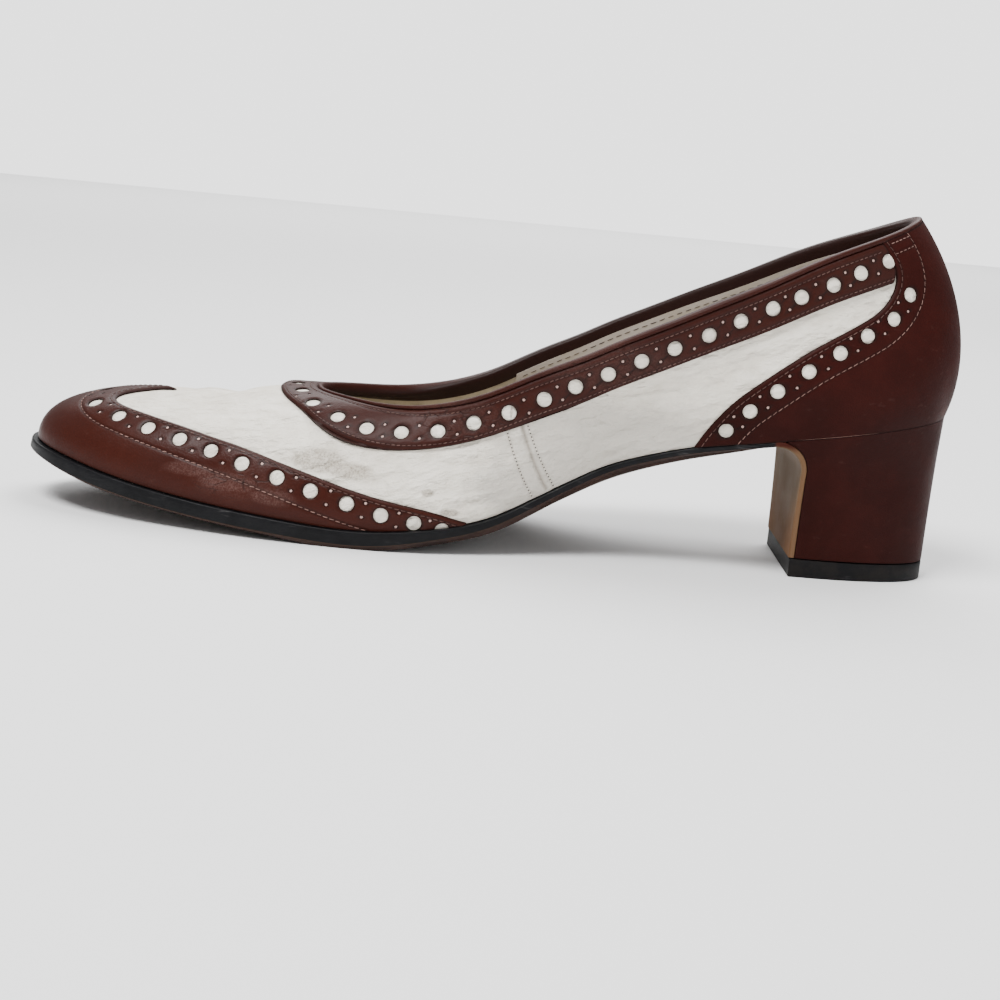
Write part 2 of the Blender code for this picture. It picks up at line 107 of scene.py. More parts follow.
RIBS = (
    # inner side x, y; outer side x, y; topline x, y, rise; out, up, lean, drop
    (0.0135, 0.000, 0.0135, 0.000, 0.316, 0.000, 0.556, 0.000, 0.277, 0.56, 0.081),
    (0.0370, 0.180, 0.0310, 0.190, 0.319, 0.060, 0.556, 0.010, 0.272, 0.55, 0.078),
    (0.1050, 0.325, 0.0930, 0.345, 0.331, 0.126, 0.557, 0.025, 0.266, 0.50, 0.074),
    (0.1840, 0.405, 0.1720, 0.440, 0.354, 0.192, 0.558, 0.035, 0.255, 0.44, 0.074),
    (0.2680, 0.455, 0.2620, 0.500, 0.382, 0.252, 0.556, 0.040, 0.245, 0.37, 0.088),
    (0.3540, 0.470, 0.3500, 0.520, 0.420, 0.306, 0.562, 0.042, 0.225, 0.28, 0.125),
    (0.4400, 0.452, 0.4400, 0.500, 0.470, 0.350, 0.592, 0.046, 0.220, 0.15, 0.170),
    (0.5230, 0.385, 0.5280, 0.440, 0.532, 0.382, 0.630, 0.048, 0.205, 0.05, 0.190),
    (0.6080, 0.318, 0.6130, 0.385, 0.602, 0.402, 0.612, 0.048, 0.190, 0.00, 0.190),
    (0.6940, 0.305, 0.6980, 0.350, 0.676, 0.396, 0.650, 0.055, 0.200, 0.05, 0.200),
    (0.7800, 0.325, 0.7830, 0.342, 0.752, 0.362, 0.742, 0.062, 0.220, 0.30, 0.220),
    (0.8650, 0.330, 0.8650, 0.335, 0.832, 0.306, 0.868, 0.072, 0.260, 0.50, 0.260),
    (0.9480, 0.220, 0.9480, 0.222, 0.902, 0.200, 0.955, 0.085, 0.285, 0.95, 0.295),
    (0.9840, 0.000, 0.9840, 0.000, 0.931, 0.000, 1.000, 0.105, 0.285, 1.05, 0.300),
)
LAST_RIB = len(RIBS) - 1
ROUND = 2 * LAST_RIB

WING = (
    # rib, share of the way up at the wing tip's edge
    (0.00, 0.650),
    (0.25, 0.585),
    (0.50, 0.510),
    (0.75, 0.462),
    (1.05, 0.440),
    (1.60, 0.438),
    (2.30, 0.438),
    (3.15, 0.414),
    (4.30, 0.340),
    (5.05, 0.272),
    (5.70, 0.188),
    (6.20, 0.098),
    (6.55, 0.010),
)

BAND = (
    # rib, share of BAND_WIDTH
    (0.0, 0.93),
    (1.0, 0.94),
    (2.0, 1.02),
    (3.0, 1.15),
    (4.0, 1.27),
    (5.0, 1.23),
    (6.0, 1.10),
    (7.0, 1.02),
    (8.0, 1.00),
    (13.0, 1.00),
)

COUNTER = (
    # share of the way up, rib at the counter's front edge
    (0.00, 9.24),
    (0.10, 9.34),
    (0.23, 9.53),
    (0.34, 9.77),
    (0.45, 10.17),
    (0.55, 10.70),
    (0.635, 11.28),
    (0.70, 11.52),
    (0.78, 11.67),
    (0.855, 11.72),
    (0.925, 11.70),
    (1.00, 11.64),
)

SOLE_SIDE = (
    # station, edge, shoulder, crown, margin
    (0.000, 0.84, 1.00, 1.00, 1.00),
    (0.300, 0.84, 1.00, 1.02, 1.00),
    (0.345, 0.84, 1.05, 1.09, 1.00),
    (0.390, 0.82, 1.05, 1.09, 1.00),
    (0.440, 0.66, 0.92, 1.05, 0.85),
    (0.500, 0.46, 0.80, 1.16, 0.55),
    (0.560, 0.38, 0.68, 1.18, 0.40),
    (0.620, 0.35, 0.62, 1.14, 0.35),
    (0.680, 0.32, 0.56, 0.96, 0.35),
    (0.740, 0.29, 0.46, 0.78, 0.40),
    (0.800, 0.24, 0.26, 0.27, 0.45),
)

HEEL_TAPER = (
    # share of the way up, share of the seat outline in the section
    (0.00, 0.00),
    (0.25, 0.10),
    (0.50, 0.27),
    (0.75, 0.55),
    (0.90, 0.82),
    (1.00, 1.00),
)
HEEL_SQUARE = 0.72       # exponent of the heel's outline: 1 is an ellipse, less is squarer
END_HALF = 0.0005        # least half width at the ends of that outline

# Punching and sewing, in metres.
MEET = 0.0001            # pieces that meet in the render stand this far apart
LEATHER = 0.00118        # top of the overlays over the white leather
LEATHER_FOOT = 0.00012   # underside of the overlays over the white leather
THREAD_BED = LEATHER - 0.00012   # height at which their stitches lie
SEWN = (0.00016, 0.00042)        # depth and half width of the leather drawn in by a row
EDGE_FALL = (0.00078, 0.0013)    # depth and reach of the fall towards an edge
HOLE_FALL = (0.00022, 0.0006)    # the same round a hole
PIN_FALL = (0.00010, 0.0005)     # the same round a pinhole
DARK_EDGE = 0.0005       # reach of the dark cut at an edge
DARK_HOLE = 0.0004       # the same round a hole
PUNCH_REACH = 0.004      # points looked at beyond a hole's rim
# Pale leather in a hole and in a pinhole: lift, radius, rise, rings, points around.
HOLE_PAD = (0.00052, 0.00186, 0.00026, 4, 24)
PIN_PAD = (0.00088, 0.00036, 0.00012, 1, 8)
WING_SEW = (0.0013, 0.0083)      # rows of stitches from the wing tip's edge
WING_LEAST = 0.007       # least share of the wing tip over the feather line
WING_PEAK = (0.0014, 1.1)        # second row: how much deeper at the peak, dying out over these ribs
BAND_SEW = 0.0012        # the band's lower row, from its edge
BAND_SHORT = 0.00035     # the band ends this far before the counter
BEAD = 0.0035            # upper row of the band, from the topline
COUNTER_SEW = (0.0013, 0.0083)   # rows of stitches from the counter's edge
BINDING = 0.0013         # topline binding on the outside
UPPER_TOP = 0.0008       # the white upper ends this far below the topline

# Punched holes of the inner side: rib and share of each.
WING_HOLES = (
    (0.00, 0.430), (0.92, 0.367), (1.56, 0.357), (2.08, 0.352), (2.59, 0.347), (3.09, 0.332),
    (3.60, 0.296), (4.11, 0.261), (4.58, 0.221), (5.06, 0.176), (5.50, 0.111), (5.91, 0.050),
    (6.255, -0.018),
)
BAND_HOLES = (
    (0.00, 0.945), (1.48, 0.935), (2.83, 0.854), (3.86, 0.774), (4.58, 0.724), (5.19, 0.724),
    (5.78, 0.734), (6.32, 0.764), (6.84, 0.764), (7.33, 0.764), (7.75, 0.774), (8.18, 0.769),
    (8.61, 0.774), (9.03, 0.784), (9.46, 0.794), (9.85, 0.819), (10.24, 0.829), (10.58, 0.834),
    (10.96, 0.839), (11.29, 0.859), (11.66, 0.879),
)
COUNTER_HOLES = (
    (9.60, 0.111), (9.88, 0.231), (10.21, 0.332), (10.58, 0.412), (10.94, 0.477), (11.25, 0.538),
    (11.56, 0.598), (11.81, 0.698),
)
TOE_WEAR = 0.42          # share of the sole's edge that is worn away at the tip of the toe
TOE_WEAR_REACH = 0.055   # station over which that wear dies out
EDGE_SOFT = (0.00022, 0.2)       # rounding of the sole's edge, at most this share of the half width
BEVEL = (0.0007, 0.40)           # the same for its bevel
UNDERSIDE = (0.08, 0.13, 0.18, 0.26, 0.35, 0.45, 0.62, 0.80)     # loops, by share of the half width
CROWN_FROM = 0.45        # share of the half width from which the underside is level
FLAP_IN = 0.00012        # the flap's sides inside the heel's
FLAP_CUT = 0.80          # share of the flap's thickness that its cut edge takes
STRAP_ROWS = (0.0024, 0.0052)    # sewn across the strap, from the topline
STRAP_ENDS = (11.76, 12.10)      # ribs between which they run
BAND_ROW_END = 11.6      # rib where the band's upper row ends, on either side

# Rolled topline, in millimetres: depth below the topline and height over the white leather. In the
# middle list the depth is a share of the facing's.
ROLL_OUT = (
    (1.42, 0.60), (1.36, 0.98), (1.10, 1.20), (0.70, 1.27), (0.36, 1.14), (0.10, 0.76),
    (-0.04, 0.20), (-0.04, -0.90), (0.04, -1.50), (0.26, -1.95), (0.70, -2.22), (1.30, -2.32),
)
ROLL_FACING = ((0.4, -2.32), (0.7, -2.32), (0.97, -2.31), (1.0, -2.24), (0.97, -2.15))
ROLL_BACK = (
    (2.2, -2.12), (1.0, -1.94), (0.62, -1.60), (0.58, -0.90), (0.58, 0.10), (0.76, 0.42),
    (1.10, 0.45),
)
ROLL_DARK = -0.0012      # the roll is darkest from this height down

# Linings: rib where the vamp's ends, height of each face, and the quarter's depth below the topline.
VAMP_LINING_END = 7.2
VAMP_LINING = (-0.00186, -0.00209)
VAMP_LINING_UNDER = 0.0010       # how far it goes up behind the facing
QUARTER_LINING = (-0.00236, -0.00266)
QUARTER_TOP = 0.0036
LINING_ROW = 0.0050      # its row of stitches below the topline
LINING_ROW_IN = 0.08     # ribs from its front edge to the row down it
LINING_STITCH = (0.0026, 0.0017, 0.00014)        # pitch, length and half width
LINING_CLEAR = 0.0002    # a lining starts this far above the insole
SOCK_IN = 0.0010         # the sock's rim inside the wall's inner face
SOCK_CURL = 0.0006       # rise of the sock's rim

# Outline of the lift: share of LIFT, distance in.
LIFT_SECTION = (
    (1.0, 0.0030), (1.0, 0.0006), (0.985, 0.0001), (0.96, 0.0), (0.55, 0.0),
    (0.06, 0.0), (0.02, 0.0001), (0.0, 0.0005), (0.0, 0.0030),
)
SEAT_LINES = (("seat_line_inner", 10.2, 11.8), ("seat_line_outer", 14.2, 15.8))
SEAT_LINE = (0.00026, 0.00009)   # half width and half height of the pale line under the seat
SEAT_LINE_AROUND = 8

# Places by rib and share, with the reach of the patch along x, y and z.
WHITE_SCUFFS = (
    (4.40, 0.432, 0.009, 0.012, 0.0036),
    (4.88, 0.400, 0.007, 0.012, 0.0024),
    (6.87, 0.764, 0.0004, 0.004, 0.0022),
    (5.99, 0.266, 0.002, 0.004, 0.0012),
    (6.33, 0.101, 0.003, 0.004, 0.0012),
)
# Painted shade, with some soiling, low on the quarter.
WHITE_LOW_SHADE_AND_DIRT = (
    (8.30, 0.12, 0.040, 0.020, 0.016),
    (7.30, 0.10, 0.020, 0.016, 0.010),
)
# Crack areas of the brown calf, which also take a painted sheen.
BROWN_CRACKS_AND_SHEEN = (
    (3.75, 0.175, 0.015, 0.014, 0.005),
    (8.20, 0.830, 0.024, 0.012, 0.008),
    (6.20, 0.800, 0.018, 0.010, 0.006),
)
# Painted sheen on the wing below its inner row of stitches.
BROWN_SHEEN = (
    (3.05, 0.190, 0.008, 0.010, 0.0020),
    (3.60, 0.168, 0.009, 0.010, 0.0026),
    (4.20, 0.132, 0.007, 0.010, 0.0024),
)
# Crack area of the heel calf, which also takes the painted sheen.
HEEL_CRACKS_AND_SHEEN = (
    (12.90, 0.300, 0.006, 0.010, 0.010),
)
# Mark patch of the heel calf, lightened with the same painted sheen.
HEEL_MARKS = (
    (12.60, 0.050, 0.004, 0.006, 0.002),
)

# Heights between which a colour gives way to another, in metres. The first two also say how much of
# the redder brown there is at either height.
BROWN_RED = (0.008, 0.030, 0.45, 0.0)
HEEL_RED = (0.042, 0.056, 0.0, 0.35)
FLAP_TAN = (0.012, 0.032)
FLAP_RIM = (0.0325, 0.0350)

# Soft lights round the shoe, in metres and watts.
LIGHTS = (
    # name, place, aim, size, power
    ("key", (-0.35, -0.50, 1.15), (0.0, 0.0, 0.04), 0.50, 24.0),
    ("top", (0.30, 0.45, 1.10), (0.0, 0.0, 0.04), 0.80, 11.0),
    ("fill", (0.90, -0.90, 0.45), (0.0, 0.0, 0.04), 0.80, 3.0),
    ("back", (0.0, 2.6, 1.7), (0.0, 2.7, 0.0), 3.0, 110.0),
)
WRINKLE_RISE = math.radians(17.0)    # slope of the wrinkles in the white leather
CAMERA_AIM = (0.12709, 0.0, 0.00921)

# Seam of vamp and quarter on the inner side: rib, share at both ends of each of its lines.
SEAM_RIDGE = ((6.956, 0.70), (7.45, 0.03))
SEAM_FURROW = ((7.005, 0.70), (7.50, 0.03))
SEAM_FRONT = ((6.80, 0.70), (7.33, 0.03))
SEAM_BACK = ((7.075, 0.70), (7.58, 0.03))
SEAM_POINTS = 60
SEAM_MIDDLE = 7.2        # rib about which it lies
SEAM_TOP = 0.66          # share of the way up where its swelling has died out
# Its forms: height or depth and half width, in metres.
SEAM_BEAD = (0.00030, 0.0007)
SEAM_SWELL = (0.00018, 0.0028)
SEAM_ROWS = (0.00012, 0.0004)
SEAM_GROOVE = (0.00034, 0.00045)
# The needle holes' dark pads are painted shade.
NEEDLE_PAD = (0.00005, 0.00020, 0.00005, 1, 8)   # needle hole: lift, radius, rise, rings, around
SEAM_STITCH = (0.62, 0.00011, -0.00004)          # share of the pitch, half width, lift
LINING_FRONT = 6.86      # rib where the quarter lining starts

# Soft folds: rib and share of three points, half width and depth in metres; a ridge is negative.
FOLDS = (
    # a rib, share; b rib, share; c rib, share; half width; depth
    (2.40, 0.645, -0.50, 0.800, -3.40, 0.625, 0.0044, 0.00155),
    (2.20, 0.560, -0.50, 0.690, -3.20, 0.530, 0.0030, 0.00060),
    (2.40, 0.860, -0.40, 0.935, -3.20, 0.850, 0.0075, -0.00080),
    (2.60, 0.480, 3.00, 0.350, 3.30, 0.190, 0.0045, 0.00034),
    (3.30, 0.360, 3.65, 0.270, 4.10, 0.160, 0.0040, -0.00029),
    (3.60, 0.540, 4.00, 0.380, 4.50, 0.240, 0.0040, 0.00029),
    (2.90, 0.230, 3.70, 0.170, 4.60, 0.100, 0.0022, 0.00030),
    (-2.60, 0.600, -3.20, 0.450, -3.80, 0.250, 0.0045, 0.00040),
    (-3.40, 0.560, -4.00, 0.400, -4.60, 0.200, 0.0040, 0.00029),
    (5.30, 0.420, 6.10, 0.330, 6.95, 0.300, 0.0013, 0.00030),
    (5.60, 0.300, 6.30, 0.235, 7.00, 0.215, 0.0011, 0.00027),
    (5.70, 0.500, 6.30, 0.440, 6.90, 0.430, 0.0012, 0.00023),
    (5.90, 0.160, 6.50, 0.150, 7.10, 0.140, 0.0012, 0.00027),
    (7.60, 0.500, 8.40, 0.420, 9.10, 0.420, 0.0014, 0.00027),
    (7.70, 0.260, 8.40, 0.210, 9.00, 0.250, 0.0014, 0.00030),
    (8.00, 0.560, 8.80, 0.520, 9.60, 0.520, 0.0012, 0.00023),
    (7.80, 0.360, 8.50, 0.310, 9.20, 0.330, 0.0012, -0.00023),
    (-5.60, 0.400, -6.40, 0.320, -7.20, 0.300, 0.0014, 0.00030),
    (-7.40, 0.480, -8.40, 0.400, -9.20, 0.400, 0.0014, 0.00027),
    (-6.00, 0.220, -6.80, 0.190, -7.60, 0.200, 0.0013, 0.00027),
)


def spline(knots, values, at):
    """Natural cubic spline through unevenly spaced knots."""
    knots = np.asarray(knots, float)
    values = np.asarray(values, float)
    at = np.asarray(at, float)
    size = len(knots)
    step = np.diff(knots)
    system = np.eye(size)
    right = np.zeros(size)
    rows = np.arange(1, size - 1)
    system[rows, rows - 1] = step[:-1]
    system[rows, rows] = 2.0 * (step[:-1] + step[1:])
    system[rows, rows + 1] = step[1:]
    right[1:-1] = 6.0 * np.diff(np.diff(values) / step)
    bend = np.linalg.solve(system, right)
    low = np.clip(np.searchsorted(knots, at) - 1, 0, size - 2)
    high = low + 1
    span = step[low]
    back = knots[high] - at
    front = at - knots[low]
    curve = (bend[low] * back**3 + bend[high] * front**3) / (6.0 * span)
    line = (values[low] / span - bend[low] * span / 6.0) * back
    return curve + line + (values[high] / span - bend[high] * span / 6.0) * front


def ring_spline(values, at):
    """Closed cubic spline through values that are one apart."""
    values = np.asarray(values, float)
    size = len(values)
    unit = np.eye(size)
    system = 4.0 * unit + np.roll(unit, 1, 1) + np.roll(unit, -1, 1)
    right = 6.0 * (np.roll(values, 1) - 2.0 * values + np.roll(values, -1))
    bend = np.linalg.solve(system, right)
    at = np.mod(np.asarray(at, float), size)
    low = np.floor(at).astype(int) % size
    high = (low + 1) % size
    front = at - np.floor(at)
    back = 1.0 - front
    line = back * values[low] + front * values[high]
    return line + ((back**3 - back) * bend[low] + (front**3 - front) * bend[high]) / 6.0


def table(rows, at, column=1):
    """Column of a table, read along its first column by a spline."""
    knots = [row[0] for row in rows]
    values = [row[column] for row in rows]
    return spline(knots, values, np.clip(at, knots[0], knots[-1]))


def bed(along):
    """Height of the insole bed, a distance behind the toe."""
    ball = SOLE + GAP
    station = np.asarray(along) / LENGTH
    toe = table(BED, station, 1) * TOE_SPRING
    return ball + toe + table(BED, station, 2) * (SEAT_HEIGHT - ball)


def bed_slope(along):
    """Slope of the insole bed, a distance behind the toe."""
    return (bed(along + STEP) - bed(along - STEP)) / (2.0 * STEP)


def ring(inner, outer, size, side=1.0):
    """A column of RIBS taken right round the shoe, inner side first."""
    forth = [row[inner] * size for row in RIBS]
    back = [row[outer] * size * side for row in RIBS[LAST_RIB - 1:0:-1]]
    return forth + back


def feather(rib):
    """Foot of a rib, and the level direction outward there."""
    step = 0.001
    along = ring(0, 2, LENGTH)
    across = ring(1, 3, -BALL_WIDTH, -1.0)
    x = ring_spline(along, rib)
    y = ring_spline(across, rib)
    run_x = ring_spline(along, rib + step) - ring_spline(along, rib - step)
    run_y = ring_spline(across, rib + step) - ring_spline(across, rib - step)
    run = np.hypot(run_x, run_y)
    outward = np.stack([run_y / run, -run_x / run, np.zeros_like(x)], -1)
    return np.stack([x, y, bed(x)], -1), outward


def through_sole(along):
    """Unit directions down through the sole, square to the bed, a distance behind the toe."""
    slope = bed_slope(along)
    down = np.stack([slope, np.zeros_like(slope), -np.ones_like(slope)], -1)
    return down / np.linalg.norm(down, axis=1, keepdims=True)


def rib_point(rib, share):
    """Point of the upper's outer face, from the toe: a cubic rib from its foot to the topline,
    B(t) = (1-t)^3 foot + 3(1-t)^2 t low + 3(1-t) t^2 high + t^3 top."""
    rib, share = np.broadcast_arrays(np.asarray(rib, float), np.asarray(share, float))
    foot, outward = feather(rib)
    top_x = ring_spline(ring(4, 4, LENGTH), rib)
    top_y = ring_spline(ring(5, 5, -BALL_WIDTH, -1.0), rib)
    top = np.stack([top_x, top_y, bed(top_x) + ring_spline(ring(6, 6, BACK_HEIGHT), rib)], -1)
    up = np.array([0.0, 0.0, 1.0])
    level = np.array([1.0, 1.0, 0.0])
    out = ring_spline(ring(7, 7, BACK_HEIGHT), rib)[..., None]
    rise = ring_spline(ring(8, 8, BACK_HEIGHT), rib)[..., None]
    lean = ring_spline(ring(9, 9, 1.0), rib)[..., None]
    drop = ring_spline(ring(10, 10, BACK_HEIGHT), rib)[..., None]
    low = foot + outward * out + up * rise
    high = top + (foot - top) * level * lean - up * drop
    t = share[..., None]
    r = 1.0 - t
    return r**3 * foot + 3.0 * r * r * t * low + 3.0 * r * t * t * high + t**3 * top


def outer_normal(rib, share):
    """Outward unit normal of the upper's outer face."""
    step = 0.0001
    across = rib_point(rib + step, share) - rib_point(rib - step, share)
    upward = rib_point(rib, share + step) - rib_point(rib, share - step)
    normal = np.cross(across, upward)
    return normal / np.linalg.norm(normal, axis=-1, keepdims=True)


def share_up(rib, distance):
    """Share of each rib at a distance over the surface from its foot, or from the topline where the
    distance is negative."""
    share = np.linspace(0.0, 1.0, 65)
    rib, distance = np.broadcast_arrays(np.asarray(rib, float), np.asarray(distance, float))
    points = rib_point(rib.reshape(-1, 1), share)
    pieces = np.linalg.norm(np.diff(points, axis=1), axis=2)
    length = np.concatenate([np.zeros((len(points), 1)), np.cumsum(pieces, axis=1)], axis=1)
    wanted = distance.reshape(-1)
    wanted = np.where(wanted < 0.0, length[:, -1] + wanted, wanted)
    found = [np.interp(value, row, share) for value, row in zip(wanted, length)]
    return np.reshape(found, rib.shape)


def middle():
    """Middle of the shoe's length and width on the floor, from the toe."""
    rib = np.linspace(0.0, ROUND, RIB_SAMPLES)
    edge, outward = feather(rib)
    station = edge[:, 0] / LENGTH
    margin = table(SOLE_SIDE, station, 4) * SOLE_MARGIN
    depth = table(SOLE_SIDE, station, 1) * SOLE + GAP
    rim = edge + outward * margin[:, None] + through_sole(edge[:, 0]) * depth[:, None]
    back = rib_point(float(LAST_RIB), np.linspace(0.0, 1.0, 65))[:, 0].max() + GAP + OVERLAY
    across = rim[:, 1].min() + rim[:, 1].max()
    return np.array([0.5 * (rim[:, 0].min() + back), 0.5 * across, 0.0])


MIDDLE = middle()


def arc_length(points):
    """Distance along a line of points."""
    return np.concatenate([[0.0], np.cumsum(np.linalg.norm(np.diff(points, axis=0), axis=1))])


def line_distance(points, line):
    """Distance of each point to a line of points: to the two segments that meet at the nearest."""
    flat = points.reshape(-1, 3)
    best = np.zeros(len(flat))
    for start in range(0, len(flat), 4000):
        part = flat[start:start + 4000]
        near = ((part[:, None, :] - line[None, :, :]) ** 2).sum(-1).argmin(1)
        gaps = []
        for first in (near - 1, near):
            first = np.clip(first, 0, len(line) - 2)
            a = line[first]
            run = line[first + 1] - a
            along = ((part - a) * run).sum(-1) / (run * run).sum(-1)
            foot = a + np.clip(along, 0.0, 1.0)[:, None] * run
            gaps.append(np.linalg.norm(part - foot, axis=1))
        best[start:start + 4000] = np.minimum(*gaps)
    return best.reshape(points.shape[:-1])


def fold_depth(rib, share):
    """Depth of the soft folds: each is a line through three places, with a bell-shaped section
    exp(-(d/w)^2) that fades in and out along it as sin(pi k)."""
    rib, share = np.broadcast_arrays(np.asarray(rib, float), np.asarray(share, float))
    turn = np.mod(rib + LAST_RIB, ROUND) - LAST_RIB
    points = rib_point(rib, share)
    depth = np.zeros(rib.shape)
    k = np.linspace(0.0, 1.0, 25)
    for *places, half, sunk in FOLDS:
        ribs = np.interp(k, (0.0, 0.5, 1.0), places[0::2])
        shares = np.interp(k, (0.0, 0.5, 1.0), places[1::2])
        close = np.abs(turn - ribs.mean()) < np.ptp(ribs) + 3.0 * half / RIB_APART + 0.4
        if not close.any():
            continue
        line = rib_point(ribs, shares)
        gap = np.linalg.norm(points[close][:, None, :] - line[None, :, :], axis=2)
        bell = np.exp(-(gap / half) ** 2) * np.sin(np.pi * k)
        depth[close] += sunk * bell.max(1)
    return depth


def seam_lift(rib, share):
    """Height of the vamp and quarter seam, a ridge with a furrow behind it and sunk rows of stitches
    beside it, each h exp(-(d/w)^2), on a broad swelling h exp(-(d/w)^4), and how deep each point lies
    in the furrow or the rows, which the white leather shows as painted shade."""
    rib, share = np.broadcast_arrays(np.asarray(rib, float), np.asarray(share, float))
    lift = np.zeros(rib.shape)
    crease = np.zeros(rib.shape)
    near = np.abs(np.mod(rib, ROUND) - SEAM_MIDDLE) < 0.8
    points = rib_point(rib[near], share[near])
    ridge, furrow, front, back = (line_distance(points, rib_point(*seam_places(ends))) for ends in
                                  (SEAM_RIDGE, SEAM_FURROW, SEAM_FRONT, SEAM_BACK))
    swell = SEAM_BEAD[0] * np.exp(-(ridge / SEAM_BEAD[1]) ** 2)
    swell = swell + SEAM_SWELL[0] * np.exp(-(ridge / SEAM_SWELL[1]) ** 4)
    rows = np.exp(-(np.minimum(front, back) / SEAM_ROWS[1]) ** 2)
    sunk = np.exp(-(furrow / SEAM_GROOVE[1]) ** 2)
    swell = swell * np.clip((SEAM_TOP - share[near]) / 0.06, 0.0, 1.0)
    lift[near] = swell - SEAM_ROWS[0] * rows - SEAM_GROOVE[0] * sunk
    crease[near] = np.maximum(sunk, 0.35 * rows)
    return lift, crease


def seam_places(ends):
    """Ribs and shares along a line of the seam."""
    k = np.linspace(0.0, 1.0, SEAM_POINTS)
    return ends[0][0] + (ends[1][0] - ends[0][0]) * k, ends[0][1] + (ends[1][1] - ends[0][1]) * k


def skin(rib, share, lift):
    """Point at a height over the creased white leather, in the row frame."""
    normal = outer_normal(rib, share)
    height = np.asarray(lift) - fold_depth(rib, share)
    return rib_point(rib, share) + normal * height[..., None] - MIDDLE


def even_places(rib, share, pitch):
    """Ribs and shares at even distances along a line given by its ribs and shares. The pitch is
    stretched to fit."""
    run = arc_length(rib_point(rib, share))
    count = max(int(round(run[-1] / pitch)), 1)
    at = run[-1] * np.arange(count + 1) / count
    return np.interp(at, run, rib), np.interp(at, run, share)


def row_beside(rib, share, edge, distance):
    """Ribs and shares of the line at a distance from an edge, found down each column of a grid; the
    columns that don't reach it are left out."""
    away = line_distance(rib_point(rib, share), edge)
    found = []
    for r, s, d, wanted in zip(rib, share, away, np.broadcast_to(distance, len(rib))):
        at = int(np.argmax(d >= wanted))
        if at == 0:
            continue
        k = (wanted - d[at - 1]) / (d[at] - d[at - 1])
        found.append((r[at - 1] + k * (r[at] - r[at - 1]), s[at - 1] + k * (s[at] - s[at - 1])))
    found = np.array(found)
    return found[:, 0], found[:, 1]


def grid_faces(rows, columns, closed=False, tube=False):
    """Quads of a grid of points; closed joins the last row to the first, and tube also joins the last
    column to the first."""
    row = np.arange(rows if closed or tube else rows - 1)[:, None]
    column = np.arange(columns if tube else columns - 1)[None, :]
    here = row * columns
    there = (row + 1) % rows * columns
    beside = (column + 1) % columns
    return np.stack([here + column, there + column, there + beside, here + beside],
                    -1).reshape(-1, 4)


def look(name):
    """A material that the materials operator made."""
    return bpy.data.materials[name]


def add_piece(name, points, faces, material, slot, nodes=(), smooth=50.0, **fields):
    """A piece of the shoe from its points and faces, with named values per point."""
    mesh = bpy.data.meshes.new(name)
    mesh.from_pydata(np.asarray(points).reshape(-1, 3).tolist(), [], np.asarray(faces).tolist())
    mesh.update()
    for label, values in fields.items():
        layer = mesh.attributes.new(label, "FLOAT", "POINT")
        layer.data.foreach_set("value", np.asarray(values, np.float32).reshape(-1))
    mesh.materials.append(look(material))
    mesh.shade_smooth()
    mesh.set_sharp_from_angle(angle=math.radians(smooth))
    piece = bpy.data.objects.new(name, mesh)
    bpy.context.collection.objects.link(piece)
    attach(piece, "root")
    if nodes:
        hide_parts(*nodes)
    return piece


def loft_faces(levels, count):
    """Faces of a closed solid through loops: each loop runs down one side and back up the other, and
    the first and last are closed by rungs between facing points."""
    level = np.arange(levels - 1)[:, None] * count
    i = np.arange(count)[None, :]
    j = (i + 1) % count
    sides = np.stack([level + i, level + count + i, level + count + j, level + j], -1).reshape(-1, 4)
    end = (levels - 1) * count
    i = np.arange(count // 2 - 1)
    facing = count - 1 - i
    first = np.stack([i, i + 1, facing - 1, facing], -1)
    last = np.stack([end + i, end + facing, end + facing - 1, end + i + 1], -1)
    return np.concatenate([sides, first, last])


def share_at(rib, distance):
    """share_up for many ribs, read off a row of samples."""
    sample = np.linspace(-LAST_RIB, LAST_RIB, RIB_SAMPLES)
    turn = np.mod(np.asarray(rib) + LAST_RIB, ROUND) - LAST_RIB
    return np.interp(turn, sample, share_up(sample, distance))


def closed_sheet(top, under, faces):
    """A closed sheet from its top points, the points under them and the top's faces: the faces turned
    over for the underside, and a wall along every open edge. Points that no face uses go. Also
    returns which points lie on an open edge, and which were used."""
    used = np.unique(faces)
    place = np.full(len(top), -1)
    place[used] = np.arange(len(used))
    faces = place[faces]
    count = len(used)
    edges = np.concatenate([faces[:, [i, (i + 1) % 4]] for i in range(4)])
    key = edges[:, 0] * count + edges[:, 1]
    back = edges[:, 1] * count + edges[:, 0]
    rim = edges[~np.isin(key, back)]
    wall = np.stack([rim[:, 1], rim[:, 0], rim[:, 0] + count, rim[:, 1] + count], -1)
    every = np.concatenate([faces, faces[:, ::-1] + count, wall])
    open_edge = np.zeros(count)
    open_edge[np.unique(rim)] = 1.0
    return np.concatenate([top[used], under[used]]), every, open_edge, used


def punch(points, normals, faces, centres, radius, spacing):
    """Cuts round holes: faces with a point inside a hole go, and the points left on its rim move in or
    out to the circle. Returns the faces kept and each point's distance past its nearest rim."""
    past = np.full(len(points), 1.0)
    inside = np.zeros(len(points), bool)
    tasks = []
    for centre in centres:
        offset = points - centre
        near = np.flatnonzero((np.abs(offset) < radius + PUNCH_REACH).all(1))
        offset = offset[near]
        normal = normals[near]
        flat = offset - (offset * normal).sum(1)[:, None] * normal
        gap = np.linalg.norm(flat, axis=1)
        past[near] = np.minimum(past[near], gap - radius)
        # A point just inside the rim stays and moves out to it; a small hole still loses its nearest.
        core = max(radius - 0.05 * spacing, min(gap.min(initial=1.0) + 1e-6, 0.8 * spacing))
        inside[near[gap < core]] = True
        tasks.append((near, flat, gap))
    lost = inside[faces].any(1)
    rim = np.zeros(len(points), bool)
    rim[np.unique(faces[lost])] = True
    rim &= ~inside
    for near, flat, gap in tasks:
        mine = rim[near] & (gap < radius + 2.4 * spacing)
        points[near[mine]] += flat[mine] * (radius / gap[mine] - 1.0)[:, None]
        past[near[mine]] = 0.0
    return faces[~lost], past


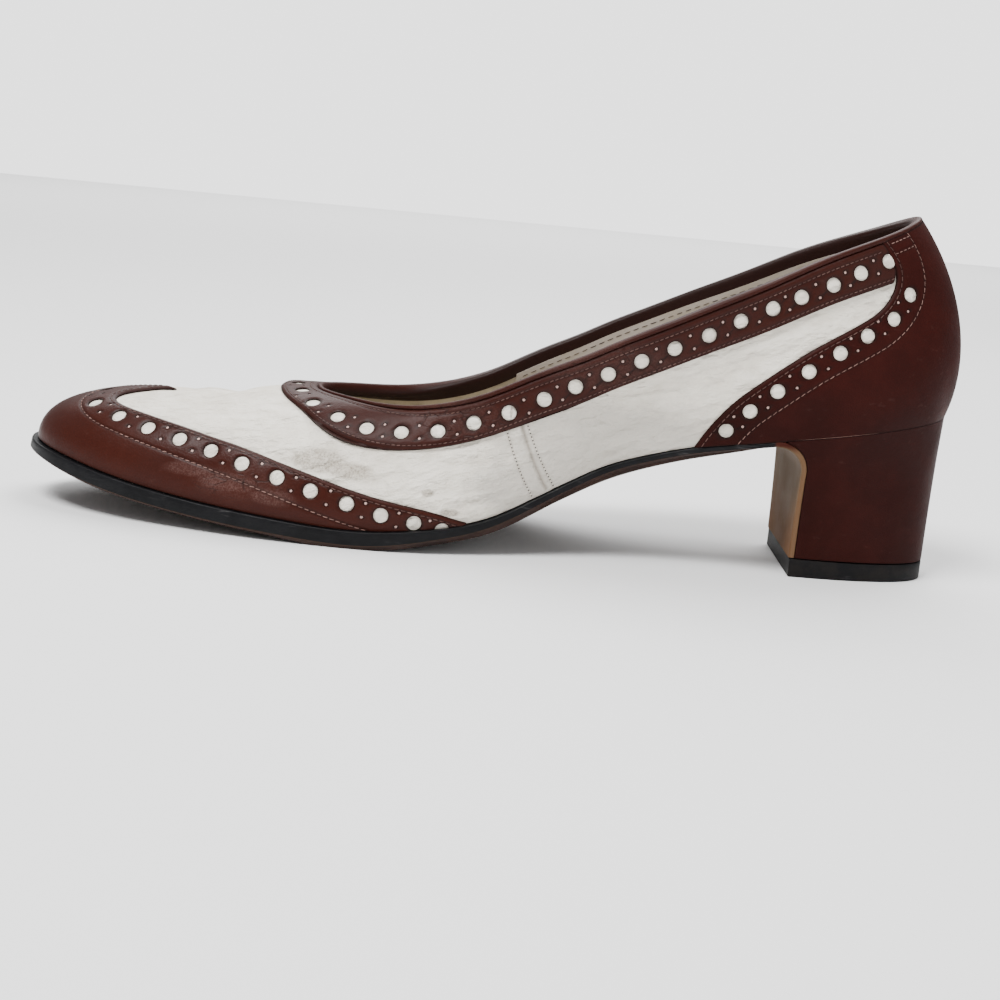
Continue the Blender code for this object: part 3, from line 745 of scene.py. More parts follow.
def make_overlay(name, rib, share, edges, sewing, holes, pins, spacing, sizes, material):
    """A punched leather overlay on a grid of ribs and shares: its face stands OVERLAY + GAP over the
    upper, falls at its edges and holes, and sinks along the stitching. It stands for its CAD node."""
    flat = rib_point(rib, share)
    away = np.full(rib.shape, 1.0)
    for edge in edges:
        away = np.minimum(away, line_distance(flat, edge))
    sunk = np.zeros(rib.shape)
    for line in sewing:
        sunk = np.maximum(sunk, np.exp(-(line_distance(flat, line) / SEWN[1]) ** 2))
    away = away.reshape(-1)
    sunk = sunk.reshape(-1)
    normal = outer_normal(rib, share).reshape(-1, 3)
    base = skin(rib, share, np.zeros(rib.shape)).reshape(-1, 3)
    faces = grid_faces(*rib.shape)
    centres = skin(*holes, np.zeros(len(holes[0])))
    faces, past = punch(base, normal, faces, centres, sizes.hole, spacing)
    centres = skin(*pins, np.zeros(len(pins[0])))
    faces, pin_past = punch(base, normal, faces, centres, sizes.pinhole, spacing)
    fall = np.zeros(len(away))
    for distance, (depth, reach) in ((away, EDGE_FALL), (past, HOLE_FALL), (pin_past, PIN_FALL)):
        fall = fall + depth * np.clip(1.0 - distance / reach, 0.0, 1.0) ** 2
    lift = LEATHER - fall - SEWN[0] * sunk
    top = base + normal * lift[:, None]
    under = base + normal * LEATHER_FOOT
    points, every, rim, used = closed_sheet(top, under, faces)
    side = np.maximum(np.clip(1.0 - away[used] / DARK_EDGE, 0.0, 1.0), rim)
    side = np.maximum(side, 0.5 * np.clip(1.0 - past[used] / DARK_HOLE, 0.0, 1.0))
    edge = np.concatenate([side, np.ones(len(used))])
    # How far each point is drawn in by a row; the brown leather shows it as painted shade.
    stitched = np.concatenate([sunk[used], np.zeros(len(used))])
    return add_piece(name + "_leather", points, every, material, "brown_leather", (name,), 55.0,
                     edge=edge, sewn=stitched)


def pairs_between(rib, share, apart):
    """Pinhole pairs half way between neighbouring holes, across the row, as ribs and shares."""
    points = rib_point(rib, share)
    mid_rib = 0.5 * (rib[1:] + rib[:-1])
    mid_share = 0.5 * (share[1:] + share[:-1])
    across = np.cross(points[1:] - points[:-1], outer_normal(mid_rib, mid_share))
    across /= np.linalg.norm(across, axis=1, keepdims=True)
    step = 0.001
    by_rib = rib_point(mid_rib + step, mid_share) - rib_point(mid_rib - step, mid_share)
    by_share = rib_point(mid_rib, mid_share + step) - rib_point(mid_rib, mid_share - step)
    a = (by_rib * by_rib).sum(1)
    b = (by_rib * by_share).sum(1)
    c = (by_share * by_share).sum(1)
    p = (by_rib * across).sum(1)
    q = (by_share * across).sum(1)
    size = (a * c - b * b) / step
    d_rib = (c * p - b * q) / size * apart
    d_share = (a * q - b * p) / size * apart
    return (np.concatenate([mid_rib + d_rib, mid_rib - d_rib]),
            np.concatenate([mid_share + d_share, mid_share - d_share]))


def add_domes(name, places, lift, radius, rise, rings, around, material, slot):
    """Round pads, one at each place: a cap z = rise (1 - (r/R)^2) over a shallow cone."""
    rib, share = places
    centre = skin(rib, share, np.full(len(rib), lift))
    normal = outer_normal(rib, share)
    side = np.cross(normal, [0.0, 0.0, 1.0])
    side /= np.linalg.norm(side, axis=1, keepdims=True)
    other = np.cross(normal, side)
    r = np.linspace(0.0, 1.0, rings + 1)[1:, None]
    a = np.linspace(0.0, 2.0 * np.pi, around, endpoint=False)[None, :]
    x = np.concatenate([[0.0], (r * np.cos(a)).ravel(), [0.0]]) * radius
    y = np.concatenate([[0.0], (r * np.sin(a)).ravel(), [0.0]]) * radius
    cap = np.broadcast_to(1.0 - r * r, (rings, around)).ravel()
    z = np.concatenate([[1.0], cap, [-0.5]]) * rise
    points = centre[:, None] + x[:, None] * side[:, None] + y[:, None] * other[:, None]
    points = points + z[:, None] * normal[:, None]
    low = 1 + (rings - 1) * around
    faces = []
    for i in range(around):
        j = (i + 1) % around
        faces.append((0, 1 + i, 1 + j))
        faces.append((len(x) - 1, low + j, low + i))
        for k in range(rings - 1):
            here = 1 + k * around
            faces.append((here + i, here + around + i, here + around + j))
            faces.append((here + i, here + around + j, here + j))
    faces = np.array(faces)
    every = (faces[None] + (np.arange(len(rib)) * len(x))[:, None, None]).reshape(-1, 3)
    return add_piece(name, points, every, material, slot, smooth=80.0)


def add_pads(name, holes, pins):
    """Pale leather that shows in the holes of an overlay, and in its pinholes that leather darkened
    and pinker as painted shade.
    """
    add_domes(name + "_hole_leather", holes, *HOLE_PAD, "White leather", "white_leather")
    add_domes(name + "_pinhole_leather", pins, *PIN_PAD, "Pin leather", "white_leather")


def stitch_shape():
    """One stitch along X: five rings of six points (r cos a, r sin a), full in the middle and closed
    at its ends."""
    k = np.array([-1.0, -0.72, 0.0, 0.72, 1.0])
    r = np.array([0.35, 0.88, 1.0, 0.88, 0.35])
    a = np.linspace(0.0, 2.0 * np.pi, 6, endpoint=False)
    y = (r[:, None] * np.cos(a)).ravel()
    z = (r[:, None] * np.sin(a)).ravel()
    faces = []
    for low in range(0, 24, 6):
        for i in range(6):
            j = (i + 1) % 6
            faces.append((low + i, low + 6 + i, low + 6 + j))
            faces.append((low + i, low + 6 + j, low + j))
    for i in range(1, 5):
        faces.append((0, i, i + 1))
        faces.append((24, 24 + i + 1, 24 + i))
    return np.repeat(k, 6), y, z, np.array(faces)[:, ::-1]


def add_stitches(name, lines, pitch, length, half, lift, slant, material, slot, side=1.0):
    """Stitches at an even pitch along lines of ribs and shares, each turned a little across the line.
    lift is the height of the leather under them; side -1 sews the inside of the shoe."""
    x, y, z, faces = stitch_shape()
    clouds = []
    shades = []
    draw = np.random.default_rng(7)
    for rib, share in lines:
        rib, share = even_places(rib, share, pitch)
        place = skin(rib, share, np.full(len(rib), lift))
        run = place[1:] - place[:-1]
        at = 0.5 * (place[1:] + place[:-1])
        run /= np.linalg.norm(run, axis=1, keepdims=True)
        normal = side * outer_normal(0.5 * (rib[1:] + rib[:-1]), 0.5 * (share[1:] + share[:-1]))
        across = np.cross(normal, run)
        count = len(at)
        turn = slant + draw.normal(0.0, 0.04, count)
        u = run * np.cos(turn)[:, None] + across * np.sin(turn)[:, None]
        v = across * np.cos(turn)[:, None] - run * np.sin(turn)[:, None]
        reach = 0.5 * length * x[None] * draw.uniform(0.92, 1.06, count)[:, None]
        body = at[:, None] + reach[..., None] * u[:, None] + (half * y)[None, :, None] * v[:, None]
        arch = half * (0.75 * z + 0.35 * (1.0 - x * x))
        clouds.append((body + arch[None, :, None] * normal[:, None]).reshape(-1, 3))
        shades.append(np.repeat(draw.uniform(0.0, 1.0, count), len(x)))
    points = np.concatenate(clouds)
    count = len(points) // len(x)
    every = (faces[None] + (np.arange(count) * len(x))[:, None, None]).reshape(-1, 3)
    return add_piece(name, points, every, material, slot, smooth=80.0, shade=np.concatenate(shades))


def both_sides(places):
    """Places of the inner side and their mirror images, as one row round the toe."""
    rows = [(-r, s) for r, s in places[::-1] if r > 0.0] + list(places)
    rows = np.array(rows)
    return rows[:, 0], rows[:, 1]


def upper_grid():
    """Ribs and shares of the white upper: close together at the seam of the inner side."""
    seam = np.linspace(6.70, 7.75, 84, endpoint=False)
    rib = np.concatenate([np.linspace(0.0, 6.70, 95, endpoint=False), seam,
                          np.linspace(7.75, ROUND, 262, endpoint=False)])
    top = share_at(rib, -UPPER_TOP)
    share = top[:, None] * np.linspace(0.0, 1.0, 96)[None, :]
    return np.broadcast_to(rib[:, None], share.shape), share


def build_upper(sizes):
    """White vamp and quarters with their folds and the side seam."""
    rib, share = upper_grid()
    lift, crease = seam_lift(rib, share)
    top = skin(rib, share, lift).reshape(-1, 3)
    under = skin(rib, share, np.full(rib.shape, -WALL)).reshape(-1, 3)
    faces = grid_faces(*rib.shape, closed=True)
    points, every, _, used = closed_sheet(top, under, faces)
    # How deep each point lies in the seam's furrow and rows, shown as painted shade.
    crease = np.concatenate([crease.reshape(-1)[used], np.zeros(len(used))])
    add_piece("white_upper", points, every, "White leather", "white_leather", ("upper",),
              crease=crease)
    lines = [seam_places(SEAM_FRONT), seam_places(SEAM_BACK)]
    places = np.concatenate([even_places(*line, sizes.needle_pitch) for line in lines], axis=1)
    # Dark pads painted as the shade in the needle holes of the seam.
    add_domes("seam_needle_hole_shade", places, *NEEDLE_PAD, "Needle hole", "white_leather")
    long, half, low = SEAM_STITCH
    add_stitches("seam_stitches", lines, sizes.needle_pitch, long * sizes.needle_pitch, half, low,
                 0.0, "White thread", "white_leather")


def wing_grid():
    """Ribs and shares over the wing tip, and its upper edge."""
    rib = np.linspace(-WING[-1][0], WING[-1][0], 541)
    low = share_at(rib, MEET)
    high = np.maximum(table(WING, np.abs(rib)), low + WING_LEAST)
    k = np.concatenate([np.linspace(0.0, 0.984, 76), [0.990, 0.995, 1.0]])
    share = low[:, None] + (high - low)[:, None] * k
    return np.broadcast_to(rib[:, None], share.shape), share, rib_point(rib, high)


def build_wing(sizes):
    """Brown wing tip with its punching and two rows of stitches."""
    rib, share, edge = wing_grid()
    holes = both_sides(WING_HOLES)
    pins = pairs_between(*holes, sizes.pin_apart)
    front = WING_PEAK[0] * np.exp(-(rib[:, 0] / WING_PEAK[1]) ** 2)
    rows = [row_beside(rib[:, ::-1], share[:, ::-1], edge, distance) for distance in
            (WING_SEW[0], WING_SEW[1] + front)]
    sewing = [rib_point(*row) for row in rows]
    make_overlay("wing_tip", rib, share, [edge], sewing, holes, pins, 0.00055, sizes,
                 "Brown leather")
    add_pads("wing", holes, pins)
    add_stitches("wing_edge_stitches", rows[:1], sizes.stitch_pitch, 0.72 * sizes.stitch_pitch,
                 sizes.thread, THREAD_BED, 0.06, "Dark thread", "brown_leather")
    add_stitches("wing_stitches", rows[1:], sizes.stitch_pitch, 0.72 * sizes.stitch_pitch,
                 0.85 * sizes.thread, THREAD_BED, 0.10, "Pink thread", "brown_leather")


def band_grid():
    """Ribs and shares over the collar band, and its lower edge."""
    turn = np.linspace(-1.0, 1.0, 881)
    rough = turn * float(table(COUNTER, 0.85))
    width = BAND_WIDTH * table(BAND, np.abs(rough))
    low = np.array([share_up(r, -w) for r, w in zip(rough, width)])
    top = share_at(rough, -BINDING)
    k = np.concatenate([[0.0, 0.02, 0.045, 0.07], np.linspace(0.11, 0.96, 23), [1.0]])
    share = low[:, None] + (top - low)[:, None] * k
    rib = turn[:, None] * (table(COUNTER, share) - BAND_SHORT * ROUND / (2.0 * LENGTH))
    return rib, share, rib_point(rough, low)


def build_band(sizes):
    """Brown collar band along the topline with its punching and stitches."""
    rib, share, edge = band_grid()
    holes = both_sides(BAND_HOLES)
    pins = pairs_between(*holes, sizes.pin_apart)
    low_row = row_beside(rib, share, edge, BAND_SEW)
    high = np.linspace(-BAND_ROW_END, BAND_ROW_END, 400)
    high_row = (high, share_at(high, -BEAD))
    sewing = [rib_point(*low_row), rib_point(*high_row)]
    make_overlay("collar_band", rib, share, [edge, rib_point(rib[:, -1], share[:, -1])], sewing,
                 holes, pins, 0.00046, sizes, "Brown leather")
    add_pads("band", holes, pins)
    pitch = 0.8 * sizes.stitch_pitch
    add_stitches("band_stitches", [low_row, high_row], pitch, 0.74 * pitch, 0.9 * sizes.thread,
                 THREAD_BED, 0.08, "Dark thread", "brown_leather")


def counter_grid():
    """Ribs and shares over the counter, and its two front edges."""
    level = np.linspace(0.0, 1.0, 400)
    run = arc_length(rib_point(table(COUNTER, level), level))
    level = np.interp(np.linspace(0.0, run[-1], 146), run, level)[None, :]
    half = np.concatenate([[0.0, 0.006, 0.013, 0.021], np.linspace(0.034, 1.0, 142)])
    turn = np.concatenate([half - 1.0, (1.0 - half[:-1])[::-1]])[:, None]
    rib = LAST_RIB + turn * (LAST_RIB - table(COUNTER, level))
    low = share_at(rib, MEET)
    top = share_at(rib, -BINDING)
    share = low + (top - low) * level
    return rib, share, [rib_point(rib[0], share[0]), rib_point(rib[-1], share[-1])]


def build_counter(sizes):
    """Brown counter with its back strap, punching, two rows of stitches and a sewn rectangle."""
    rib, share, edges = counter_grid()
    inner = np.array(COUNTER_HOLES)
    outer_holes = (ROUND - inner[:, 0], inner[:, 1])
    inner_pins = pairs_between(inner[:, 0], inner[:, 1], sizes.pin_apart)
    outer_pins = pairs_between(*outer_holes, sizes.pin_apart)
    holes = np.concatenate([inner.T, outer_holes], axis=1)
    pins = np.concatenate([inner_pins, outer_pins], axis=1)
    half = len(rib) // 2 + 1
    rows = []
    for distance in COUNTER_SEW:
        row = row_beside(rib[:half].T, share[:half].T, edges[0], distance)
        rows.append(row)
        rows.append((ROUND - row[0], row[1]))
    box = []
    for depth in STRAP_ROWS:
        rib_row = np.linspace(*STRAP_ENDS, 12)
        box.append((rib_row, share_at(rib_row, -depth)))
        box.append((ROUND - rib_row, share_at(rib_row, -depth)))
    sewing = [rib_point(*row) for row in rows + box]
    make_overlay("counter", rib, share, edges, sewing, holes, pins, 0.00050, sizes, "Heel leather")
    add_pads("counter", holes, pins)
    long = 0.78 * sizes.stitch_pitch
    add_stitches("counter_edge_stitches", rows[:2], sizes.stitch_pitch, long, 0.85 * sizes.thread,
                 THREAD_BED, 0.06, "Dark thread", "brown_leather")
    add_stitches("counter_stitches", rows[2:], sizes.stitch_pitch, long, 0.75 * sizes.thread,
                 THREAD_BED, 0.10, "Pink thread", "brown_leather")
    add_stitches("strap_stitches", box, 0.8 * sizes.stitch_pitch, 0.6 * sizes.stitch_pitch,
                 0.9 * sizes.thread, THREAD_BED, 0.0, "Pink thread", "brown_leather")


def build_binding(sizes):
    """Rolled edge of the topline and the brown facing inside it: one section of depths and heights
    carried round the topline."""
    rib = np.linspace(0.0, ROUND, 560, endpoint=False)
    outer = np.array(ROLL_OUT) * 0.001
    inside = np.array(ROLL_FACING)
    back = np.array(ROLL_BACK) * 0.001
    depth = [np.full(len(rib), a) for a in outer[:, 0]]
    depth += [np.full(len(rib), a * sizes.facing) for a in inside[:, 0]]
    depth += [np.full(len(rib), a) for a in back[:, 0]]
    height = np.concatenate([outer[:, 1], inside[:, 1] * 0.001, back[:, 1]])
    speed = np.linalg.norm(rib_point(rib, 1.0) - rib_point(rib, 0.99), axis=1) / 0.01
    columns = []
    for a, h in zip(depth, height):
        share = share_at(rib, -a[0]) if a[0] > 0.0006 else 1.0 - a / speed
        columns.append(skin(rib, share, np.full(len(rib), h)))
    points = np.stack(columns, 1)
    dark = np.clip(height / ROLL_DARK, 0.0, 1.0)
    dark[0] = 1.0
    dark = np.broadcast_to(dark[None, :], points.shape[:2])
    add_piece("topline_binding", points, grid_faces(*points.shape[:2], tube=True), "Brown leather",
              "brown_leather", smooth=60.0, edge=0.9 * dark, sewn=np.zeros(points.shape[:2]))


def lining_sheet(name, first, last, count, high, outside, inside, material):
    """A lining inside the shoe between two ribs, from the insole up to a depth below the topline."""
    rib = np.linspace(first, last, count)
    top = share_at(rib, -high)
    low = share_at(rib, INSOLE + LINING_CLEAR)
    share = low[:, None] + (top - low)[:, None] * np.linspace(0.0, 1.0, 24)
    rib = np.broadcast_to(rib[:, None], share.shape)
    face = skin(rib, share, np.full(rib.shape, inside)).reshape(-1, 3)
    back = skin(rib, share, np.full(rib.shape, outside)).reshape(-1, 3)
    points, every, _, _ = closed_sheet(face, back, grid_faces(*rib.shape)[:, ::-1])
    add_piece(name, points, every, material, "sock_lining")


def build_lining(sizes):
    """Vamp lining, quarter lining with its row of stitches, and the sock."""
    lining_sheet("vamp_lining", -VAMP_LINING_END, VAMP_LINING_END, 240,
                 sizes.facing - VAMP_LINING_UNDER, *VAMP_LINING, "Vamp lining")
    lining_sheet("quarter_lining", LINING_FRONT, ROUND - LINING_FRONT, 220, QUARTER_TOP,
                 *QUARTER_LINING, "Quarter lining")
    ends = (LINING_FRONT + LINING_ROW_IN, ROUND - LINING_FRONT - LINING_ROW_IN)
    rib = np.linspace(*ends, 300)
    rise = np.linspace(0.25, 1.0, 30)
    rows = [(rib, share_at(rib, -LINING_ROW))]
    for end in ends:
        rows.append((np.full(len(rise), end), rise * share_at(end, -LINING_ROW)))
    add_stitches("lining_stitches", rows, *LINING_STITCH, QUARTER_LINING[1], 0.0, "Lining thread",
                 "sock_lining", side=-1.0)
    station = (np.arange(150) + 0.5) * LAST_RIB / 150
    sides = []
    for rib in (station, ROUND - station):
        edge, outward = feather(rib)
        sides.append(edge - outward * (WALL + SOCK_IN))
    across = np.linspace(0.0, 1.0, 15)[None, :, None]
    floor = sides[1][:, None] * (1.0 - across) + sides[0][:, None] * across
    floor[..., 2] = bed(floor[..., 0])
    top = floor.copy()
    top[..., 2] += INSOLE + SOCK_CURL * (2.0 * across[..., 0] - 1.0) ** 4
    faces = grid_faces(150, 15)
    points, every, _, _ = closed_sheet((top - MIDDLE).reshape(-1, 3), (floor - MIDDLE).reshape(-1, 3),
                                       faces)
    add_piece("sock", points, every, "Sock", "sock_lining", ("insole",))


def sole_turn():
    """Start of the turn down the breast: distance behind the toe, height and slope of the bed."""
    start = BREAST - BREAST_RADIUS
    for _ in range(4):
        slope = math.atan(bed_slope(start))
        start = BREAST - BREAST_RADIUS * (1.0 + math.sin(slope))
    return start, float(bed(start)), slope


def breast_path(arc, drop):
    """Upper face of the sole round the turn, in arc steps, and down the breast, in drop steps: rows of
    x, z and the direction towards its underside."""
    start, height, slope = sole_turn()
    middle_x = start + BREAST_RADIUS * math.sin(slope)
    middle_z = height - BREAST_RADIUS * math.cos(slope)
    heading = slope + (math.radians(-90.0) - slope) * np.arange(1, arc + 1) / arc
    side = np.stack([np.sin(heading), -np.cos(heading)], -1)
    turn = np.array([middle_x, middle_z]) - BREAST_RADIUS * side
    foot = LIFT + GAP
    straight_z = middle_z + (foot - middle_z) * np.arange(1, drop + 1) / drop
    straight = np.stack([np.full(drop, BREAST), straight_z], -1)
    path = np.concatenate([turn, straight])
    side = np.concatenate([side, np.tile([-1.0, 0.0], (drop, 1))])
    return np.concatenate([path, side], axis=1)


def rib_near(along, inner):
    """Rib number on one side where the feather line is a distance behind the toe."""
    rib = np.linspace(0.0, LAST_RIB, 400)
    if not inner:
        rib = -rib
    return np.interp(along, feather(rib)[0][:, 0], rib)


def sole_side(inner, stations, turn, drop):
    """One side of the sole, toe to the foot of the breast: edge points, outward directions and the
    directions down through the sole."""
    start = sole_turn()[0]
    rib = np.linspace(0.5 / stations, 1.0, stations) * rib_near(start, inner)
    edge, outward = feather(rib)
    down = through_sole(edge[:, 0])
    path = breast_path(turn, drop)
    count = len(path)
    side = -1.0 if inner else 1.0
    low = LIFT + GAP
    height = np.clip((path[:, 1] - low) / (bed(path[:, 0]) - GAP - low), 0.0, 1.0)
    plain = 0.5 * HEEL_WIDTH
    seat = seat_width(path[:, 0], inner)
    width = plain + (seat - plain) * table(HEEL_TAPER, height) - FLAP_IN
    flap = np.stack([path[:, 0], side * width, path[:, 1]], -1)
    across = np.tile([0.0, side, 0.0], (count, 1))
    under = np.stack([path[:, 2], np.zeros(count), path[:, 3]], -1)
    pairs = ((edge, flap), (outward, across), (down, under))
    return [np.concatenate(pair) for pair in pairs]


def build_sole():
    """Leather sole: black edge, brown underside and the flap down the heel breast. The underside rises
    to its crown as 1 - (1 - k)^1.6."""
    stations = 230
    sides = [sole_side(True, stations, 22, 10), sole_side(False, stations, 22, 10)]
    edge, outward, down = (np.concatenate([a, b[::-1]]) for a, b in zip(*sides))
    station = edge[:, 0] / LENGTH
    on_flap = np.zeros(len(edge), bool)
    on_flap[stations:-stations] = True
    toe_wear = 1.0 - TOE_WEAR * np.exp(-(station / TOE_WEAR_REACH) ** 2)
    side, shoulder, crown = (table(SOLE_SIDE, station, column) * SOLE * toe_wear for column in
                             (1, 2, 3))
    side = np.where(on_flap, GAP + FLAP * FLAP_CUT, side)
    shoulder = np.where(on_flap, GAP + FLAP, shoulder)
    crown = np.where(on_flap, GAP + FLAP, crown)
    margin = np.where(on_flap, 0.0, table(SOLE_SIDE, station, 4) * SOLE_MARGIN)
    half = np.abs(edge[:, 1])
    bevel = np.minimum(BEVEL[0] + (SOLE - shoulder), BEVEL[1] * half)
    bevel = np.where(on_flap, 0.0, bevel)
    top = edge + down * np.where(on_flap, 0.0, GAP)[:, None] + outward * margin[:, None]
    soft = np.minimum(EDGE_SOFT[0], EDGE_SOFT[1] * half)
    section = [
        # depth, distance in, black edge, brown line
        (0.0 * side, 2.6 * soft, 1.0, 0.0),
        (0.00002 + 0.0 * side, 0.9 * soft, 1.0, 0.0),
        (0.00010 + 0.0 * side, 0.25 * soft, 1.0, 0.0),
        (0.00028 + 0.0 * side, 0.0 * soft, 1.0, 0.0),
        (0.45 * side, 0.0 * soft, 1.0, 0.0),
        (0.92 * side, 0.0 * soft, 1.0, 0.0),
        (0.94 * side, 0.0 * soft, 0.0, 1.0),
        (side - 0.00008, 0.1 * soft, 0.0, 1.0),
        (side + 0.00004, 0.6 * soft, 0.0, 0.2),
        (0.5 * (side + shoulder), 0.5 * (bevel + 0.6 * soft), 0.0, 0.0),
        (shoulder, np.maximum(bevel, 0.7 * soft), 0.0, 0.0),
    ]
    for share in UNDERSIDE:
        rise = 1.0 - (1.0 - min(share / CROWN_FROM, 1.0)) ** 1.6
        inward = np.maximum(share * half, bevel + 0.02 * share * half)
        section.append((shoulder + (crown - shoulder) * rise, inward, 0.0, 0.0))
    loops = []
    black = []
    line = []
    for depth, inward, painted, brown in section:
        loop = top + down * depth[:, None] - outward * inward[:, None]
        loop[:, 2] = np.maximum(loop[:, 2], 0.0)
        loops.append(loop)
        black.append(np.full(len(edge), painted))
        line.append(np.full(len(edge), brown))
    count = len(edge)
    flap = np.tile(on_flap.astype(float), len(section))
    points = np.concatenate(loops) - MIDDLE
    faces = loft_faces(len(section), count)
    add_piece("leather_sole", points, faces, "Sole leather", "sole_leather", ("outsole",), 50.0,
              black=np.concatenate(black), line=np.concatenate(line), flap=flap)


def seat_width(along, inner):
    """Half width of the seat outline, counter included, a distance behind the toe."""
    rib = np.linspace(rib_near(0.7 * LENGTH, inner), LAST_RIB if inner else -LAST_RIB, 240)
    edge, outward = feather(rib)
    rim = edge + outward * (GAP + OVERLAY)
    return np.interp(along, rim[:, 0], np.abs(rim[:, 1]))


def seat_back():
    """Back of the seat outline, counter included."""
    return float(feather(np.array([float(LAST_RIB)]))[0][0, 0]) + GAP + OVERLAY


def heel_outline(stations):
    """Quarter outline of the heel's foot, x = sin(t) and y = cos(t)^HEEL_SQUARE: shares of its length
    and of its half width."""
    turn = np.linspace(0.0, 0.5 * math.pi, stations)
    return np.sin(turn), np.cos(turn) ** HEEL_SQUARE


def heel_loop(front, height, stations):
    """Outline of the heel a share of the way up, with its flat front face at front: the foot's outline
    and the seat's, mixed by HEEL_TAPER."""
    along, across = heel_outline(stations)
    grow = float(table(HEEL_TAPER, height))
    back = HEEL_BACK + (seat_back() - HEEL_BACK) * grow
    x = front + (back - front) * along
    low = LIFT + GAP
    top = bed(x) - GAP
    z = low + (top - low) * height
    sides = []
    for inner in (True, False):
        plain = 0.5 * HEEL_WIDTH * across
        seat = seat_width(front + (seat_back() - front) * along, inner)
        seat[-1] = 0.0
        width = np.maximum(plain + (seat - plain) * grow, END_HALF)
        sides.append(np.stack([x, -width if inner else width, z], -1))
    return np.concatenate([sides[0], sides[1][::-1]])


def build_heel():
    """Leather-covered block heel: loops that follow the flap's upper face down the breast."""
    low = LIFT + GAP
    stations = 56
    loops = []
    for x, z, side_x, side_z in breast_path(26, 16)[::-1]:
        front = x - side_x * MEET
        level = z - side_z * MEET
        top = float(bed(front)) - GAP
        if top - level < 0.0003:
            break
        loops.append(heel_loop(front, (level - low) / (top - low), stations))
    loops.append(heel_loop(front, 1.0, stations))
    points = np.concatenate(loops[::-1]) - MIDDLE
    faces = loft_faces(len(loops), 2 * stations)
    zeros = np.zeros(len(points))
    add_piece("heel_block", points, faces, "Heel leather", "brown_leather", ("heel",), 45.0,
              edge=zeros, sewn=zeros)


def build_lift():
    """Top lift: the foot's outline on the section of LIFT_SECTION."""
    along, across = heel_outline(56)
    front = BREAST - FLAP
    x = front + (HEEL_BACK - front) * along
    y = np.maximum(0.5 * HEEL_WIDTH * across, END_HALF)
    centre = np.array([0.5 * (front + HEEL_BACK), 0.0])
    loop = np.concatenate([np.stack([x, -y], -1), np.stack([x, y], -1)[::-1]])
    loops = []
    for height, inward in LIFT_SECTION:
        out = loop - centre
        ring_at = centre + out * (1.0 - inward / np.linalg.norm(out, axis=1))[:, None]
        loops.append(np.column_stack([ring_at, np.full(len(loop), LIFT * height)]))
    points = np.concatenate(loops) - MIDDLE
    add_piece("heel_lift", points, loft_faces(len(loops), len(loop)), "Rubber", "lift_rubber",
              ("top_lift",), 50.0)


def build_seat_lines():
    """Pale line between the counter and the heel on both sides, swelling as sin(pi k)^0.3."""
    count = 120
    around = SEAT_LINE_AROUND
    half, rise = SEAT_LINE
    turn = np.linspace(0.0, 2.0 * np.pi, around, endpoint=False)
    swell = np.sin(np.pi * np.linspace(0.02, 0.98, count)) ** 0.3
    row = np.arange(count - 1)[:, None] * around
    i = np.arange(around)[None, :]
    j = (i + 1) % around
    sides = np.stack([row + i, row + j, row + around + j, row + around + i], -1).reshape(-1, 4)
    fan = np.array([(0, k + 2, k + 1, k) for k in range(1, around - 1, 2)])
    ends = np.concatenate([fan, (fan + (count - 1) * around)[:, ::-1]])
    for name, first, last in SEAT_LINES:
        edge, outward = feather(np.linspace(first, last, count))
        place = edge + outward * (GAP + 0.7 * OVERLAY)
        place[:, 2] = bed(place[:, 0]) - 0.00005
        ring_at = half * np.cos(turn)[None, :, None] * outward[:, None, :]
        ring_at = ring_at + rise * np.sin(turn)[None, :, None] * np.array([0.0, 0.0, 1.0])
        points = place[:, None] + ring_at * swell[:, None, None] - MIDDLE
        add_piece(name, points.reshape(-1, 3), np.concatenate([sides, ends])[:, ::-1], "Pink thread",
                  "brown_leather", smooth=80.0, shade=np.full(points.size // 3, 0.3))


def linear(red, green, blue):
    """A colour for a property from its screen values of 0 to 255."""
    values = np.array([red, green, blue]) / 255.0
    return tuple(float(v) for v in np.where(values < 0.04045, values / 12.92,
                                            ((values + 0.055) / 1.055) ** 2.4))


def add_node(tree, kind, inputs=(), **settings):
    """A shader node with its settings; inputs are pairs of a socket's name or number and a value or
    another node's output."""
    made = tree.nodes.new(kind)
    for key, value in settings.items():
        setattr(made, key, value)
    for key, value in inputs:
        if isinstance(value, bpy.types.NodeSocket):
            tree.links.new(value, made.inputs[key])
        else:
            made.inputs[key].default_value = value
    return made


def new_group(name, inputs, outputs):
    """A shader node group with named sockets, and its input and output nodes."""
    tree = bpy.data.node_groups.new(name, "ShaderNodeTree")
    kinds = {"f": "NodeSocketFloat", "c": "NodeSocketColor", "v": "NodeSocketVector"}
    for label, kind, default in inputs:
        socket = tree.interface.new_socket(label, in_out="INPUT", socket_type=kinds[kind])
        if default is not None:
            socket.default_value = default
    for label, kind in outputs:
        tree.interface.new_socket(label, in_out="OUTPUT", socket_type=kinds[kind])
    return tree, tree.nodes.new("NodeGroupInput").outputs, tree.nodes.new("NodeGroupOutput").inputs


def mix_colours(tree, factor, a, b):
    """Colour output of a mix of two colours."""
    return add_node(tree, "ShaderNodeMix", ((0, factor), (6, a), (7, b)),
                    data_type="RGBA").outputs[2]


def maths(tree, operation, a, b, c=None, clamp=False):
    """Output of one sum."""
    inputs = [(0, a), (1, b)]
    if c is not None:
        inputs.append((2, c))
    return add_node(tree, "ShaderNodeMath", inputs, operation=operation, use_clamp=clamp).outputs[0]


def span(tree, value, low, high, out_low=0.0, out_high=1.0):
    """A value taken smoothly from one range to another."""
    return add_node(tree, "ShaderNodeMapRange", ((0, value), (1, low), (2, high), (3, out_low),
                                                 (4, out_high)),
                    interpolation_type="SMOOTHSTEP").outputs[0]


